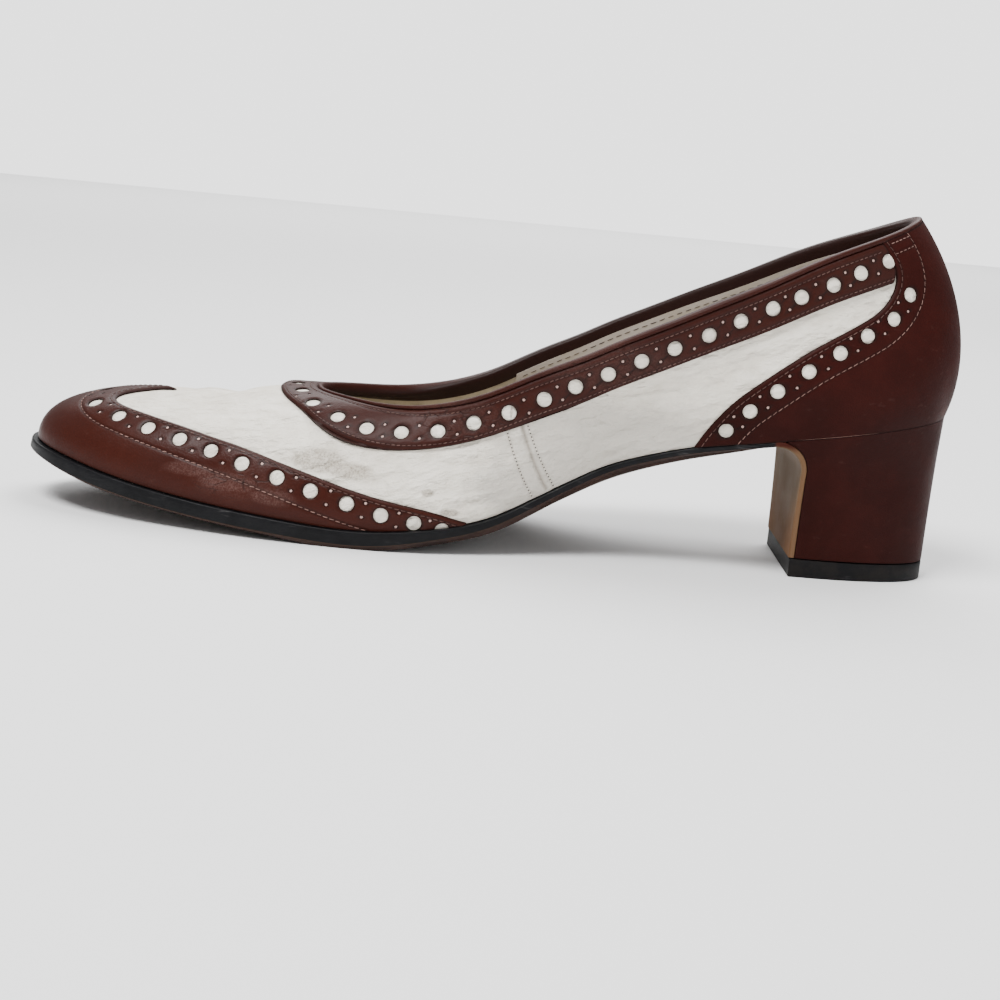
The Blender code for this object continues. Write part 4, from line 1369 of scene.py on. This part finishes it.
def noise(tree, vector, scale, detail=3.0, rough=0.55):
    """Noise of a scale in waves per metre."""
    return add_node(tree, "ShaderNodeTexNoise", (("Vector", vector), ("Scale", scale),
                                                 ("Detail", detail), ("Roughness", rough))).outputs[0]


def stretched(tree, vector, size, rise=0.0):
    """Coordinates divided by a size along the axes, the first of which climbs by an angle."""
    return add_node(tree, "ShaderNodeMapping", (("Vector", vector), ("Scale", size),
                                                ("Rotation", (0.0, -rise, 0.0))),
                    vector_type="TEXTURE").outputs[0]


def group_grain():
    """Group: fine pebbled grain of calf leather, cells with soft furrows, and its pores."""
    tree, given, out = new_group("Leather grain", (("Vector", "v", None), ("Scale", "f", 1400.0)),
                                 (("Height", "f"),))
    warp = add_node(tree, "ShaderNodeTexNoise", (("Vector", given["Vector"]), ("Scale", 420.0),
                                                 ("Detail", 2.0))).outputs[1]
    moved = add_node(tree, "ShaderNodeVectorMath", ((0, warp), (1, (0.0009, 0.0009, 0.0009)),
                                                    (2, given["Vector"])),
                     operation="MULTIPLY_ADD").outputs[0]
    cells = add_node(tree, "ShaderNodeTexVoronoi", (("Vector", moved), ("Scale", given["Scale"])),
                     feature="DISTANCE_TO_EDGE").outputs[0]
    furrow = span(tree, cells, 0.0, 0.22)
    fine = noise(tree, given["Vector"], 5200.0, 2.0)
    height = maths(tree, "MULTIPLY_ADD", fine, 0.35, furrow)
    tree.links.new(height, out["Height"])


def group_crackle():
    """Group: long shallow cracks that run one way, broken up by noise."""
    tree, given, out = new_group("Crackle", (("Vector", "v", None), ("Stretch", "v", (1.0, 1.0, 1.0)),
                                             ("Scale", "f", 420.0), ("Amount", "f", 1.0)),
                                 (("Height", "f"), ("Mask", "f")))
    warp = add_node(tree, "ShaderNodeTexNoise", (("Vector", given["Vector"]), ("Scale", 160.0),
                                                 ("Detail", 3.0))).outputs[1]
    moved = add_node(tree, "ShaderNodeVectorMath", ((0, warp), (1, (0.004, 0.004, 0.004)),
                                                    (2, given["Vector"])),
                     operation="MULTIPLY_ADD").outputs[0]
    long = add_node(tree, "ShaderNodeVectorMath", ((0, moved), (1, given["Stretch"])),
                    operation="MULTIPLY").outputs[0]
    cells = add_node(tree, "ShaderNodeTexVoronoi", (("Vector", long), ("Scale", given["Scale"])),
                     feature="DISTANCE_TO_EDGE").outputs[0]
    crack = span(tree, cells, 0.0, 0.10, 1.0, 0.0)
    broken = span(tree, noise(tree, given["Vector"], 260.0, 2.0), 0.42, 0.62)
    mask = maths(tree, "MULTIPLY", maths(tree, "MULTIPLY", crack, broken), given["Amount"])
    tree.links.new(mask, out["Mask"])
    tree.links.new(maths(tree, "SUBTRACT", 0.0, mask), out["Height"])


def group_patch():
    """Group: a soft ellipsoid in the shoe's own sizes, with a ragged rim."""
    tree, given, out = new_group("Patch", (("Vector", "v", None), ("Centre", "v", None),
                                           ("Reach", "v", (0.01, 0.01, 0.01)),
                                           ("Ragged", "f", 0.4)), (("Mask", "f"),))
    offset = add_node(tree, "ShaderNodeVectorMath", ((0, given["Vector"]), (1, given["Centre"])),
                      operation="SUBTRACT").outputs[0]
    unit = add_node(tree, "ShaderNodeVectorMath", ((0, offset), (1, given["Reach"])),
                    operation="DIVIDE").outputs[0]
    reach = add_node(tree, "ShaderNodeVectorMath", ((0, unit),), operation="LENGTH").outputs[1]
    ragged = maths(tree, "MULTIPLY_ADD", maths(tree, "SUBTRACT", noise(tree, given["Vector"], 300.0),
                                               0.5), given["Ragged"], reach)
    tree.links.new(span(tree, ragged, 0.55, 1.05, 1.0, 0.0), out["Mask"])


def group_mottle():
    """Group: two colours in soft clouds."""
    tree, given, out = new_group("Mottle", (("Vector", "v", None), ("First", "c", None),
                                            ("Second", "c", None), ("Scale", "f", 90.0)),
                                 (("Color", "c"),))
    cloud = span(tree, noise(tree, given["Vector"], given["Scale"], 4.0, 0.6), 0.36, 0.64)
    tree.links.new(mix_colours(tree, cloud, given["First"], given["Second"]), out["Color"])


def group_scratch():
    """Group: fine scratches, thin noise stretched along one axis."""
    tree, given, out = new_group("Scratches", (("Vector", "v", None), ("Stretch", "v", (1, 1, 1)),
                                               ("Amount", "f", 1.0)), (("Mask", "f"),))
    long = add_node(tree, "ShaderNodeVectorMath", ((0, given["Vector"]), (1, given["Stretch"])),
                    operation="MULTIPLY").outputs[0]
    thin = span(tree, noise(tree, long, 900.0, 3.0, 0.6), 0.60, 0.70)
    broken = span(tree, noise(tree, given["Vector"], 130.0, 2.0), 0.45, 0.65)
    mask = maths(tree, "MULTIPLY", maths(tree, "MULTIPLY", thin, broken), given["Amount"])
    tree.links.new(mask, out["Mask"])


def use_group(tree, name, inputs):
    """A group node's outputs."""
    return add_node(tree, "ShaderNodeGroup", inputs, node_tree=bpy.data.node_groups[name]).outputs


def new_material(name, roughness, coat=0.0, shine=0.5):
    """A material with its tree, its shader and the shoe's own coordinates."""
    material = bpy.data.materials.new(name)
    material.use_nodes = True
    tree = material.node_tree
    shader = tree.nodes["Principled BSDF"]
    shader.inputs["Roughness"].default_value = roughness
    shader.inputs["Coat Weight"].default_value = coat
    shader.inputs["Coat Roughness"].default_value = 0.30
    shader.inputs["Specular IOR Level"].default_value = shine
    where = tree.nodes.new("ShaderNodeTexCoord").outputs["Object"]
    return tree, shader.inputs, where


def bump(tree, height, distance, strength, under=None):
    """Normal of a bump of a height in metres, over another normal where one is given."""
    inputs = [("Height", height), ("Distance", distance), ("Strength", strength)]
    if under is not None:
        inputs.append(("Normal", under))
    return add_node(tree, "ShaderNodeBump", inputs).outputs[0]


def field(tree, name):
    """A value that the mesh carries."""
    return add_node(tree, "ShaderNodeAttribute", attribute_name=name).outputs["Fac"]


def patches(tree, where, rows):
    """The strongest of several patches at each place."""
    best = None
    for rib, share, *reach in rows:
        centre = skin(rib, share, 0.0)
        mask = use_group(tree, "Patch", (("Vector", where), ("Centre", centre), ("Reach", reach)))[0]
        best = mask if best is None else maths(tree, "MAXIMUM", best, mask)
    return best


def rgba(colour):
    """A colour with full alpha."""
    return (*colour, 1.0)


def white_material(colours):
    """White calf: fine grain, soft lengthwise wrinkles with painted shade in their hollows, painted
    shade with some soiling low on the quarter, grey scuffs, and painted shade in the seam's furrow and
    rows."""
    tree, shader, where = new_material("White leather", 0.42)
    grain = use_group(tree, "Leather grain", (("Vector", where), ("Scale", 1500.0)))[0]
    wrinkle = use_group(tree, "Crackle", (("Vector", where), ("Stretch", (0.22, 1.0, 1.0)),
                                          ("Scale", 330.0), ("Amount", 1.0)))
    cloud = span(tree, noise(tree, where, 60.0, 4.0), 0.35, 0.75)
    broad = noise(tree, stretched(tree, where, (3.2, 1.0, 1.0), WRINKLE_RISE), 170.0, 2.0, 0.5)
    wave = noise(tree, stretched(tree, where, (2.0, 1.0, 1.0), WRINKLE_RISE), 420.0, 4.0, 0.6)
    scuffs = patches(tree, where, WHITE_SCUFFS)
    speck = span(tree, noise(tree, where, 1900.0, 4.0, 0.7), 0.38, 0.70, 0.42, 1.0)
    dirt_and_shade = maths(tree, "MULTIPLY", scuffs, speck)
    faint = maths(tree, "MULTIPLY", span(tree, noise(tree, where, 800.0, 3.0), 0.60, 0.72), cloud)
    dirt_and_shade = maths(tree, "MULTIPLY_ADD", dirt_and_shade, 0.84, maths(tree, "MULTIPLY", faint, 0.10))
    dirt_and_shade = maths(tree, "MULTIPLY_ADD", wrinkle["Mask"], 0.035, dirt_and_shade)
    # Painted shade in the seam's furrow and rows.
    dirt_and_shade = maths(tree, "MULTIPLY_ADD", field(tree, "crease"), 0.62, dirt_and_shade, clamp=True)
    # Painted shade in the wrinkles' hollows, from the same noises as their bumps.
    hollow_shade = span(tree, wave, 0.34, 0.60, 0.36, 0.0)
    hollow_shade = maths(tree, "ADD", hollow_shade, span(tree, broad, 0.36, 0.60, 0.28, 0.0))
    # Random dull tone from the cloud, plus the painted shade in the wrinkles' hollows.
    worn = maths(tree, "MULTIPLY_ADD", cloud, 0.35, hollow_shade, clamp=True)
    base = mix_colours(tree, worn, rgba(colours.white), rgba(colours.white_worn_and_shade))
    # Painted shade, with some soiling, low on the quarter.
    low = patches(tree, where, WHITE_LOW_SHADE_AND_DIRT)
    base = mix_colours(tree, maths(tree, "MULTIPLY", low, 0.75), base, rgba(colours.white_low_shade_and_dirt))
    base = mix_colours(tree, dirt_and_shade, base, rgba(colours.dirt_and_shade))
    tree.links.new(base, shader["Base Color"])
    tree.links.new(span(tree, cloud, 0.0, 1.0, 0.34, 0.48), shader["Roughness"])
    first = bump(tree, wrinkle["Height"], 0.00030, 0.25)
    second = bump(tree, wave, 0.0016, 0.95, first)
    third = bump(tree, broad, 0.0030, 0.90, second)
    tree.links.new(bump(tree, grain, 0.00006, 0.30, third), shader["Normal"])


def brown_material(name, first, second, colours, redder, shine, rough, cracks, marks):
    """Brown calf: clouded colour that turns redder by height, darker cut edges, painted shade in the
    sunk rows of stitches, grain, cracks, and rubbed marks and crack areas lightened with a painted
    sheen."""
    tree, shader, where = new_material(name, 0.42, 0.25 * shine, shine)
    grain = use_group(tree, "Leather grain", (("Vector", where), ("Scale", 1300.0)))[0]
    crack = use_group(tree, "Crackle", (("Vector", where), ("Stretch", (0.5, 1.0, 1.0)),
                                        ("Scale", 420.0), ("Amount", 1.0)))
    crack_and_sheen_zones = patches(tree, where, cracks)
    level = add_node(tree, "ShaderNodeSeparateXYZ", ((0, where),)).outputs[2]
    low = span(tree, level, *redder)
    cloud = span(tree, noise(tree, where, 70.0, 4.0, 0.6), 0.35, 0.70, 0.0, 0.45)
    base = mix_colours(tree, maths(tree, "ADD", low, cloud), rgba(first), rgba(second))
    fine = use_group(tree, "Scratches", (("Vector", where), ("Stretch", (0.30, 1.0, 1.0)),
                                         ("Amount", 0.05)))[0]
    speck = span(tree, noise(tree, where, 2400.0, 3.0), 0.40, 0.66, 0.30, 1.0)
    # Painted sheen in the mark patches, a pale pinkish speckle.
    rubbed = maths(tree, "MULTIPLY", patches(tree, where, marks), speck)
    # light holds that painted sheen and the faint real scratches.
    light = maths(tree, "MULTIPLY_ADD", rubbed, 0.22, fine)
    # The crack areas also get a painted sheen.
    light = maths(tree, "MULTIPLY_ADD", maths(tree, "MULTIPLY", crack_and_sheen_zones, speck), 0.11, light, clamp=True)
    base = mix_colours(tree, light, base, rgba(colours.rubbed))
    cut = maths(tree, "MULTIPLY", crack["Mask"], crack_and_sheen_zones)
    base = mix_colours(tree, maths(tree, "MULTIPLY", cut, 0.5), base, rgba(colours.brown_edge))
    # Painted shade in the sunk rows of stitches.
    base = mix_colours(tree, maths(tree, "MULTIPLY", field(tree, "sewn"), 0.55), base,
                       rgba(colours.brown_edge))
    base = mix_colours(tree, maths(tree, "MULTIPLY", field(tree, "edge"), 0.8), base,
                       rgba(colours.brown_edge))
    tree.links.new(base, shader["Base Color"])
    gloss = span(tree, noise(tree, where, 55.0, 4.0), 0.3, 0.7, rough, rough + 0.16)
    tree.links.new(maths(tree, "MULTIPLY_ADD", light, 0.25, gloss), shader["Roughness"])
    cracks_low = maths(tree, "MULTIPLY", crack["Height"], crack_and_sheen_zones)
    first_bump = bump(tree, cracks_low, 0.00022, 0.7)
    wave = bump(tree, noise(tree, where, 180.0, 3.0), 0.0006, 0.22, first_bump)
    tree.links.new(bump(tree, grain, 0.00007, 0.30, wave), shader["Normal"])


def thread_material(name, first, second):
    """Thread whose shade changes from stitch to stitch."""
    tree, shader, where = new_material(name, 0.65)
    shade = span(tree, field(tree, "shade"), 0.0, 1.0)
    base = mix_colours(tree, shade, rgba(first), rgba(second))
    tree.links.new(base, shader["Base Color"])
    twist = add_node(tree, "ShaderNodeTexWave", (("Vector", where), ("Scale", 900.0),
                                                 ("Distortion", 3.0))).outputs[1]
    tree.links.new(bump(tree, twist, 0.00006, 0.5), shader["Normal"])


def cloth_material(name, first, second, roughness):
    """Plain lining leather, clouded, with a faint grain."""
    tree, shader, where = new_material(name, roughness)
    base = use_group(tree, "Mottle", (("Vector", where), ("First", rgba(first)),
                                      ("Second", rgba(second)), ("Scale", 70.0)))[0]
    tree.links.new(base, shader["Base Color"])
    grain = use_group(tree, "Leather grain", (("Vector", where), ("Scale", 1100.0)))[0]
    tree.links.new(bump(tree, grain, 0.00008, 0.4), shader["Normal"])


def sole_material(colours):
    """Painted black edge with fine scratches, a thin brown line below it, brown underside and tan
    flap with a paler cut edge."""
    tree, shader, where = new_material("Sole leather", 0.48, 0.0, 0.14)
    black = field(tree, "black")
    flap = field(tree, "flap")
    line = field(tree, "line")
    edge = use_group(tree, "Mottle", (("Vector", where), ("First", rgba(colours.edge)),
                                      ("Second", rgba(colours.edge_worn)), ("Scale", 150.0)))[0]
    under = use_group(tree, "Mottle", (("Vector", where), ("First", rgba(colours.under)),
                                       ("Second", rgba(colours.under_worn)), ("Scale", 60.0)))[0]
    level = add_node(tree, "ShaderNodeSeparateXYZ", ((0, where),)).outputs[2]
    uneven = maths(tree, "MULTIPLY_ADD", noise(tree, where, 120.0, 3.0), 0.012, level)
    tan = mix_colours(tree, span(tree, uneven, *FLAP_TAN, 1.0, 0.0), rgba(colours.tan),
                      rgba(colours.tan_worn))
    rim = mix_colours(tree, span(tree, level, *FLAP_RIM), rgba(colours.flap_edge),
                      rgba(colours.brown_red))
    scratch = use_group(tree, "Scratches", (("Vector", where), ("Stretch", (0.15, 0.15, 1.0)),
                                            ("Amount", 0.8)))[0]
    edge = mix_colours(tree, scratch, edge, rgba(colours.edge_scratch))
    base = mix_colours(tree, black, under, edge)
    base = mix_colours(tree, line, base, rgba(colours.edge_line))
    side = mix_colours(tree, maths(tree, "MAXIMUM", black, line), tan, rim)
    base = mix_colours(tree, flap, base, side)
    tree.links.new(base, shader["Base Color"])
    rough = span(tree, noise(tree, where, 90.0, 3.0), 0.3, 0.7, 0.38, 0.58)
    tree.links.new(maths(tree, "MULTIPLY_ADD", flap, 0.35, rough, clamp=True), shader["Roughness"])
    fine = noise(tree, stretched(tree, where, (4.0, 4.0, 1.0)), 1500.0, 3.0)
    tree.links.new(bump(tree, fine, 0.00012, 0.5), shader["Normal"])


def rubber_material(colours):
    """Worn rubber of the top lift."""
    tree, shader, where = new_material("Rubber", 0.6, 0.0, 0.15)
    base = use_group(tree, "Mottle", (("Vector", where), ("First", rgba(colours.rubber)),
                                      ("Second", rgba(colours.edge)), ("Scale", 260.0)))[0]
    scratch = use_group(tree, "Scratches", (("Vector", where), ("Stretch", (0.2, 0.2, 1.0)),
                                            ("Amount", 0.5)))[0]
    tree.links.new(mix_colours(tree, scratch, base, rgba(colours.edge_scratch)),
                   shader["Base Color"])
    tree.links.new(bump(tree, noise(tree, where, 1800.0, 3.0), 0.0001, 0.5), shader["Normal"])


def plain_material(name, colour, roughness):
    """One plain finish."""
    _, shader, _ = new_material(name, roughness)
    shader["Base Color"].default_value = rgba(colour)


def make_looks(colours):
    """Every node group and material of the shoe."""
    group_grain()
    group_crackle()
    group_patch()
    group_mottle()
    group_scratch()
    white_material(colours)
    brown_material("Brown leather", colours.brown, colours.brown_red, colours,
                   BROWN_RED, 0.10, 0.32, BROWN_CRACKS_AND_SHEEN, BROWN_SHEEN)
    brown_material("Heel leather", colours.heel, colours.heel_red, colours,
                   HEEL_RED, 0.05, 0.46, HEEL_CRACKS_AND_SHEEN, HEEL_MARKS)
    thread_material("Pink thread", colours.thread, colours.thread_worn)
    thread_material("Dark thread", colours.dark_thread, colours.brown_red)
    thread_material("White thread", colours.white, colours.white_worn_and_shade)
    thread_material("Lining thread", colours.lining_thread, colours.needle)
    cloth_material("Vamp lining", colours.lining, colours.lining_worn, 0.75)
    cloth_material("Quarter lining", colours.quarter, colours.lining_worn, 0.65)
    cloth_material("Sock", colours.sock, colours.lining_worn, 0.70)
    sole_material(colours)
    rubber_material(colours)
    plain_material("Pin leather", colours.pin, 0.6)
    plain_material("Needle hole", colours.needle, 0.8)
    plain_material("Studio floor", colours.floor, 0.9)


def add_light(name, place, aim, size, power):
    """A square soft light."""
    data = bpy.data.lights.new(name, "AREA")
    data.size = size
    data.energy = power
    lamp = bpy.data.objects.new(name, data)
    lamp.location = place
    lamp.rotation_euler = (Vector(aim) - Vector(place)).to_track_quat("-Z", "Y").to_euler()
    bpy.context.collection.objects.link(lamp)


def build_stage(sizes, colours):
    """Pale floor, soft lights and the camera of the photograph."""
    side = 3.0
    mesh = bpy.data.meshes.new("floor")
    mesh.from_pydata([(-side, -side, 0), (side, -side, 0), (side, side, 0), (-side, side, 0)], [],
                     [(0, 1, 2, 3)])
    mesh.materials.append(look("Studio floor"))
    floor = bpy.data.objects.new("floor", mesh)
    bpy.context.collection.objects.link(floor)
    for light in LIGHTS:
        add_light(*light)
    world = bpy.data.worlds.new("studio")
    world.use_nodes = True
    tree = world.node_tree
    around = tree.nodes["Background"]
    around.inputs["Color"].default_value = rgba(colours.floor)
    around.inputs["Strength"].default_value = sizes.sky
    seen = add_node(tree, "ShaderNodeBackground", (("Color", rgba(colours.floor)),
                                                   ("Strength", sizes.backdrop))).outputs[0]
    ray = tree.nodes.new("ShaderNodeLightPath").outputs["Is Camera Ray"]
    both = add_node(tree, "ShaderNodeMixShader", ((0, ray), (1, around.outputs[0]), (2, seen)))
    tree.links.new(both.outputs[0], tree.nodes["World Output"].inputs["Surface"])
    bpy.context.scene.world = world
    lift = math.radians(sizes.camera_lift)
    roll = math.radians(sizes.camera_roll)
    ahead = Vector((0.0, math.cos(lift), -math.sin(lift)))
    up = Vector((0.0, math.sin(lift), math.cos(lift)))
    level = Vector((1.0, 0.0, 0.0))
    right = level * math.cos(roll) + up * math.sin(roll)
    top = up * math.cos(roll) - level * math.sin(roll)
    aim = Vector(CAMERA_AIM) - Vector(MIDDLE)
    place = aim - ahead * sizes.camera_away
    turn = Matrix((right, top, -ahead)).transposed().to_4x4()
    data = bpy.data.cameras.new("camera")
    data.lens = sizes.camera_lens
    data.sensor_width = 36.0
    data.clip_start = 0.01
    camera = bpy.data.objects.new("camera", data)
    camera.matrix_world = Matrix.Translation(place) @ turn
    bpy.context.collection.objects.link(camera)
    bpy.context.scene.camera = camera


def size(name, description, default, unit="LENGTH"):
    """A size that a user may change."""
    return bpy.props.FloatProperty(name=name, description=description, default=default, unit=unit,
                                   precision=5)


def colour(name, description, red, green, blue):
    """A colour that a user may change, from its screen values."""
    return bpy.props.FloatVectorProperty(name=name, description=description, subtype="COLOR",
                                         size=3, min=0.0, max=1.0, default=linear(red, green, blue))


class PumpSizes(bpy.types.PropertyGroup):
    """Sizes of the punching, the sewing and the view."""

    hole: size("Hole radius", "Radius of a punched hole", 0.00190)
    pinhole: size("Pinhole radius", "Radius of a pinhole", 0.00042)
    pin_apart: size("Pinholes apart", "Distance between the two pinholes of a pair", 0.00350)
    stitch_pitch: size("Stitch pitch", "Distance from stitch to stitch", 0.00165)
    thread: size("Thread half width", "Half of the width of the thread", 0.00015)
    needle_pitch: size("Needle pitch", "Distance between needle holes of the side seam", 0.00096)
    facing: size("Facing", "Depth of the brown facing inside the topline", 0.0044)
    sky: size("Sky", "Strength of the light from all round", 0.42, "NONE")
    backdrop: size("Backdrop", "Brightness of the backdrop behind the floor", 2.70, "NONE")
    camera_lift: size("Camera lift", "Camera over the horizon, in degrees", 10.5, "NONE")
    camera_roll: size("Camera roll", "Roll of the camera, in degrees", 5.4, "NONE")
    camera_away: size("Camera distance", "Camera from the shoe", 0.480)
    camera_lens: size("Camera lens", "Focal length, in millimetres", 64.0, "NONE")


class PumpColours(bpy.types.PropertyGroup):
    """Colours of the leathers, the threads and the floor."""

    white: colour("White", "White calf", 250, 243, 229)
    # Dull white, also the painted shade in the wrinkles' hollows.
    white_worn_and_shade: colour("Worn white", "White calf where it has dulled", 222, 213, 198)
    # Painted shade, with some soiling, of the white calf low on the quarter.
    white_low_shade_and_dirt: colour("Low white", "White calf low on the quarter", 196, 190, 180)
    # Grey soiling colour, also used for the painted shade in the seam.
    dirt_and_shade: colour("Dirt", "Grey dirt on the white calf", 124, 110, 92)
    brown: colour("Brown", "Brown calf", 49, 21, 16)
    brown_red: colour("Red brown", "Brown calf where it is redder", 58, 23, 15)
    brown_edge: colour("Brown edge", "Cut edge of the brown calf", 30, 19, 17)
    # Colour of the painted sheen on the brown calf, a greyish pink.
    rubbed: colour("Rubbed brown", "Brown calf where it is rubbed", 126, 98, 92)
    heel: colour("Heel brown", "Brown calf of the counter and the heel", 39, 13, 10)
    heel_red: colour("Heel red brown", "The same where it is redder", 54, 19, 15)
    thread: colour("Thread", "Pale thread", 136, 102, 92)
    thread_worn: colour("Worn thread", "Pale thread where it has darkened", 98, 68, 60)
    dark_thread: colour("Dark thread", "Brown thread", 88, 58, 50)
    # White leather down a pinhole, painted darker and pinker as shade.
    pin: colour("Pinhole leather", "Leather seen in the pinholes", 206, 170, 160)
    lining_thread: colour("Lining thread", "Thread of the quarter lining", 92, 82, 70)
    # Painted shade of the needle holes; also the darker tone of the lining thread.
    needle: colour("Needle hole", "Needle holes of the side seam", 60, 54, 50)
    lining: colour("Lining", "Lining of the vamp", 186, 176, 158)
    lining_worn: colour("Worn lining", "The same where it is darker", 156, 146, 130)
    quarter: colour("Quarter lining", "Lining of the quarters", 166, 156, 147)
    sock: colour("Sock", "Sock over the insole", 188, 176, 150)
    edge: colour("Sole edge", "Painted edge of the sole", 11, 11, 13)
    edge_worn: colour("Worn edge", "Painted edge where it is rubbed", 18, 18, 20)
    edge_scratch: colour("Edge scratches", "Scratches in the painted edge", 58, 56, 56)
    edge_line: colour("Edge line", "Brown line at the foot of the edge", 54, 38, 30)
    under: colour("Underside", "Underside of the sole", 32, 19, 15)
    under_worn: colour("Worn underside", "Underside where it is worn", 50, 34, 28)
    tan: colour("Flap", "Sole leather down the heel breast", 106, 88, 70)
    tan_worn: colour("Worn flap", "The same where it is lower", 104, 74, 50)
    flap_edge: colour("Flap edge", "Cut edge of the flap", 104, 78, 56)
    rubber: colour("Rubber", "Rubber of the top lift", 22, 19, 18)
    floor: colour("Floor", "Studio floor", 244, 244, 244)


class PUMP_OT_looks(bpy.types.Operator):
    """Make the node groups and materials of the shoe"""

    bl_idname = "pump.looks"
    bl_label = "Materials"

    def execute(self, context):
        make_looks(context.scene.pump_colours)
        return {"FINISHED"}


class PUMP_OT_upper(bpy.types.Operator):
    """Build the white upper and its side seam"""

    bl_idname = "pump.upper"
    bl_label = "White upper"

    def execute(self, context):
        build_upper(context.scene.pump_sizes)
        return {"FINISHED"}


class PUMP_OT_wing(bpy.types.Operator):
    """Build the wing tip"""

    bl_idname = "pump.wing"
    bl_label = "Wing tip"

    def execute(self, context):
        build_wing(context.scene.pump_sizes)
        return {"FINISHED"}


class PUMP_OT_band(bpy.types.Operator):
    """Build the collar band and the rolled topline"""

    bl_idname = "pump.band"
    bl_label = "Collar band"

    def execute(self, context):
        build_band(context.scene.pump_sizes)
        build_binding(context.scene.pump_sizes)
        return {"FINISHED"}


class PUMP_OT_counter(bpy.types.Operator):
    """Build the counter and its back strap"""

    bl_idname = "pump.counter"
    bl_label = "Counter"

    def execute(self, context):
        build_counter(context.scene.pump_sizes)
        return {"FINISHED"}


class PUMP_OT_lining(bpy.types.Operator):
    """Build the linings and the sock"""

    bl_idname = "pump.lining"
    bl_label = "Linings"

    def execute(self, context):
        build_lining(context.scene.pump_sizes)
        return {"FINISHED"}


class PUMP_OT_sole(bpy.types.Operator):
    """Build the sole"""

    bl_idname = "pump.sole"
    bl_label = "Sole"

    def execute(self, context):
        build_sole()
        return {"FINISHED"}


class PUMP_OT_heel(bpy.types.Operator):
    """Build the heel, its top lift and the seat lines"""

    bl_idname = "pump.heel"
    bl_label = "Heel"

    def execute(self, context):
        build_heel()
        build_lift()
        build_seat_lines()
        return {"FINISHED"}


class PUMP_OT_stage(bpy.types.Operator):
    """Build the floor, the lights and the camera"""

    bl_idname = "pump.stage"
    bl_label = "Stage"

    def execute(self, context):
        build_stage(context.scene.pump_sizes, context.scene.pump_colours)
        return {"FINISHED"}


OPERATORS = (PUMP_OT_looks, PUMP_OT_upper, PUMP_OT_wing, PUMP_OT_band, PUMP_OT_counter,
             PUMP_OT_lining, PUMP_OT_sole, PUMP_OT_heel, PUMP_OT_stage)


class PUMP_PT_panel(bpy.types.Panel):
    """Sizes, colours and pieces of the pump"""

    bl_idname = "PUMP_PT_panel"
    bl_label = "Spectator pump"
    bl_space_type = "VIEW_3D"
    bl_region_type = "UI"
    bl_category = "Pump"

    def draw(self, context):
        for group in (context.scene.pump_sizes, context.scene.pump_colours):
            for label in group.__annotations__:
                self.layout.prop(group, label)
        for operator in OPERATORS:
            self.layout.operator(operator.bl_idname)


CLASSES = (PumpSizes, PumpColours, *OPERATORS, PUMP_PT_panel)


def register():
    for each in CLASSES:
        bpy.utils.register_class(each)
    bpy.types.Scene.pump_sizes = bpy.props.PointerProperty(type=PumpSizes)
    bpy.types.Scene.pump_colours = bpy.props.PointerProperty(type=PumpColours)


def unregister():
    del bpy.types.Scene.pump_sizes
    del bpy.types.Scene.pump_colours
    for each in reversed(CLASSES):
        bpy.utils.unregister_class(each)


def main():
    register()
    bpy.ops.pump.looks()
    bpy.ops.pump.upper()
    bpy.ops.pump.wing()
    bpy.ops.pump.band()
    bpy.ops.pump.counter()
    bpy.ops.pump.lining()
    bpy.ops.pump.sole()
    bpy.ops.pump.heel()
    bpy.ops.pump.stage()


if __name__ == "__main__":
    main()
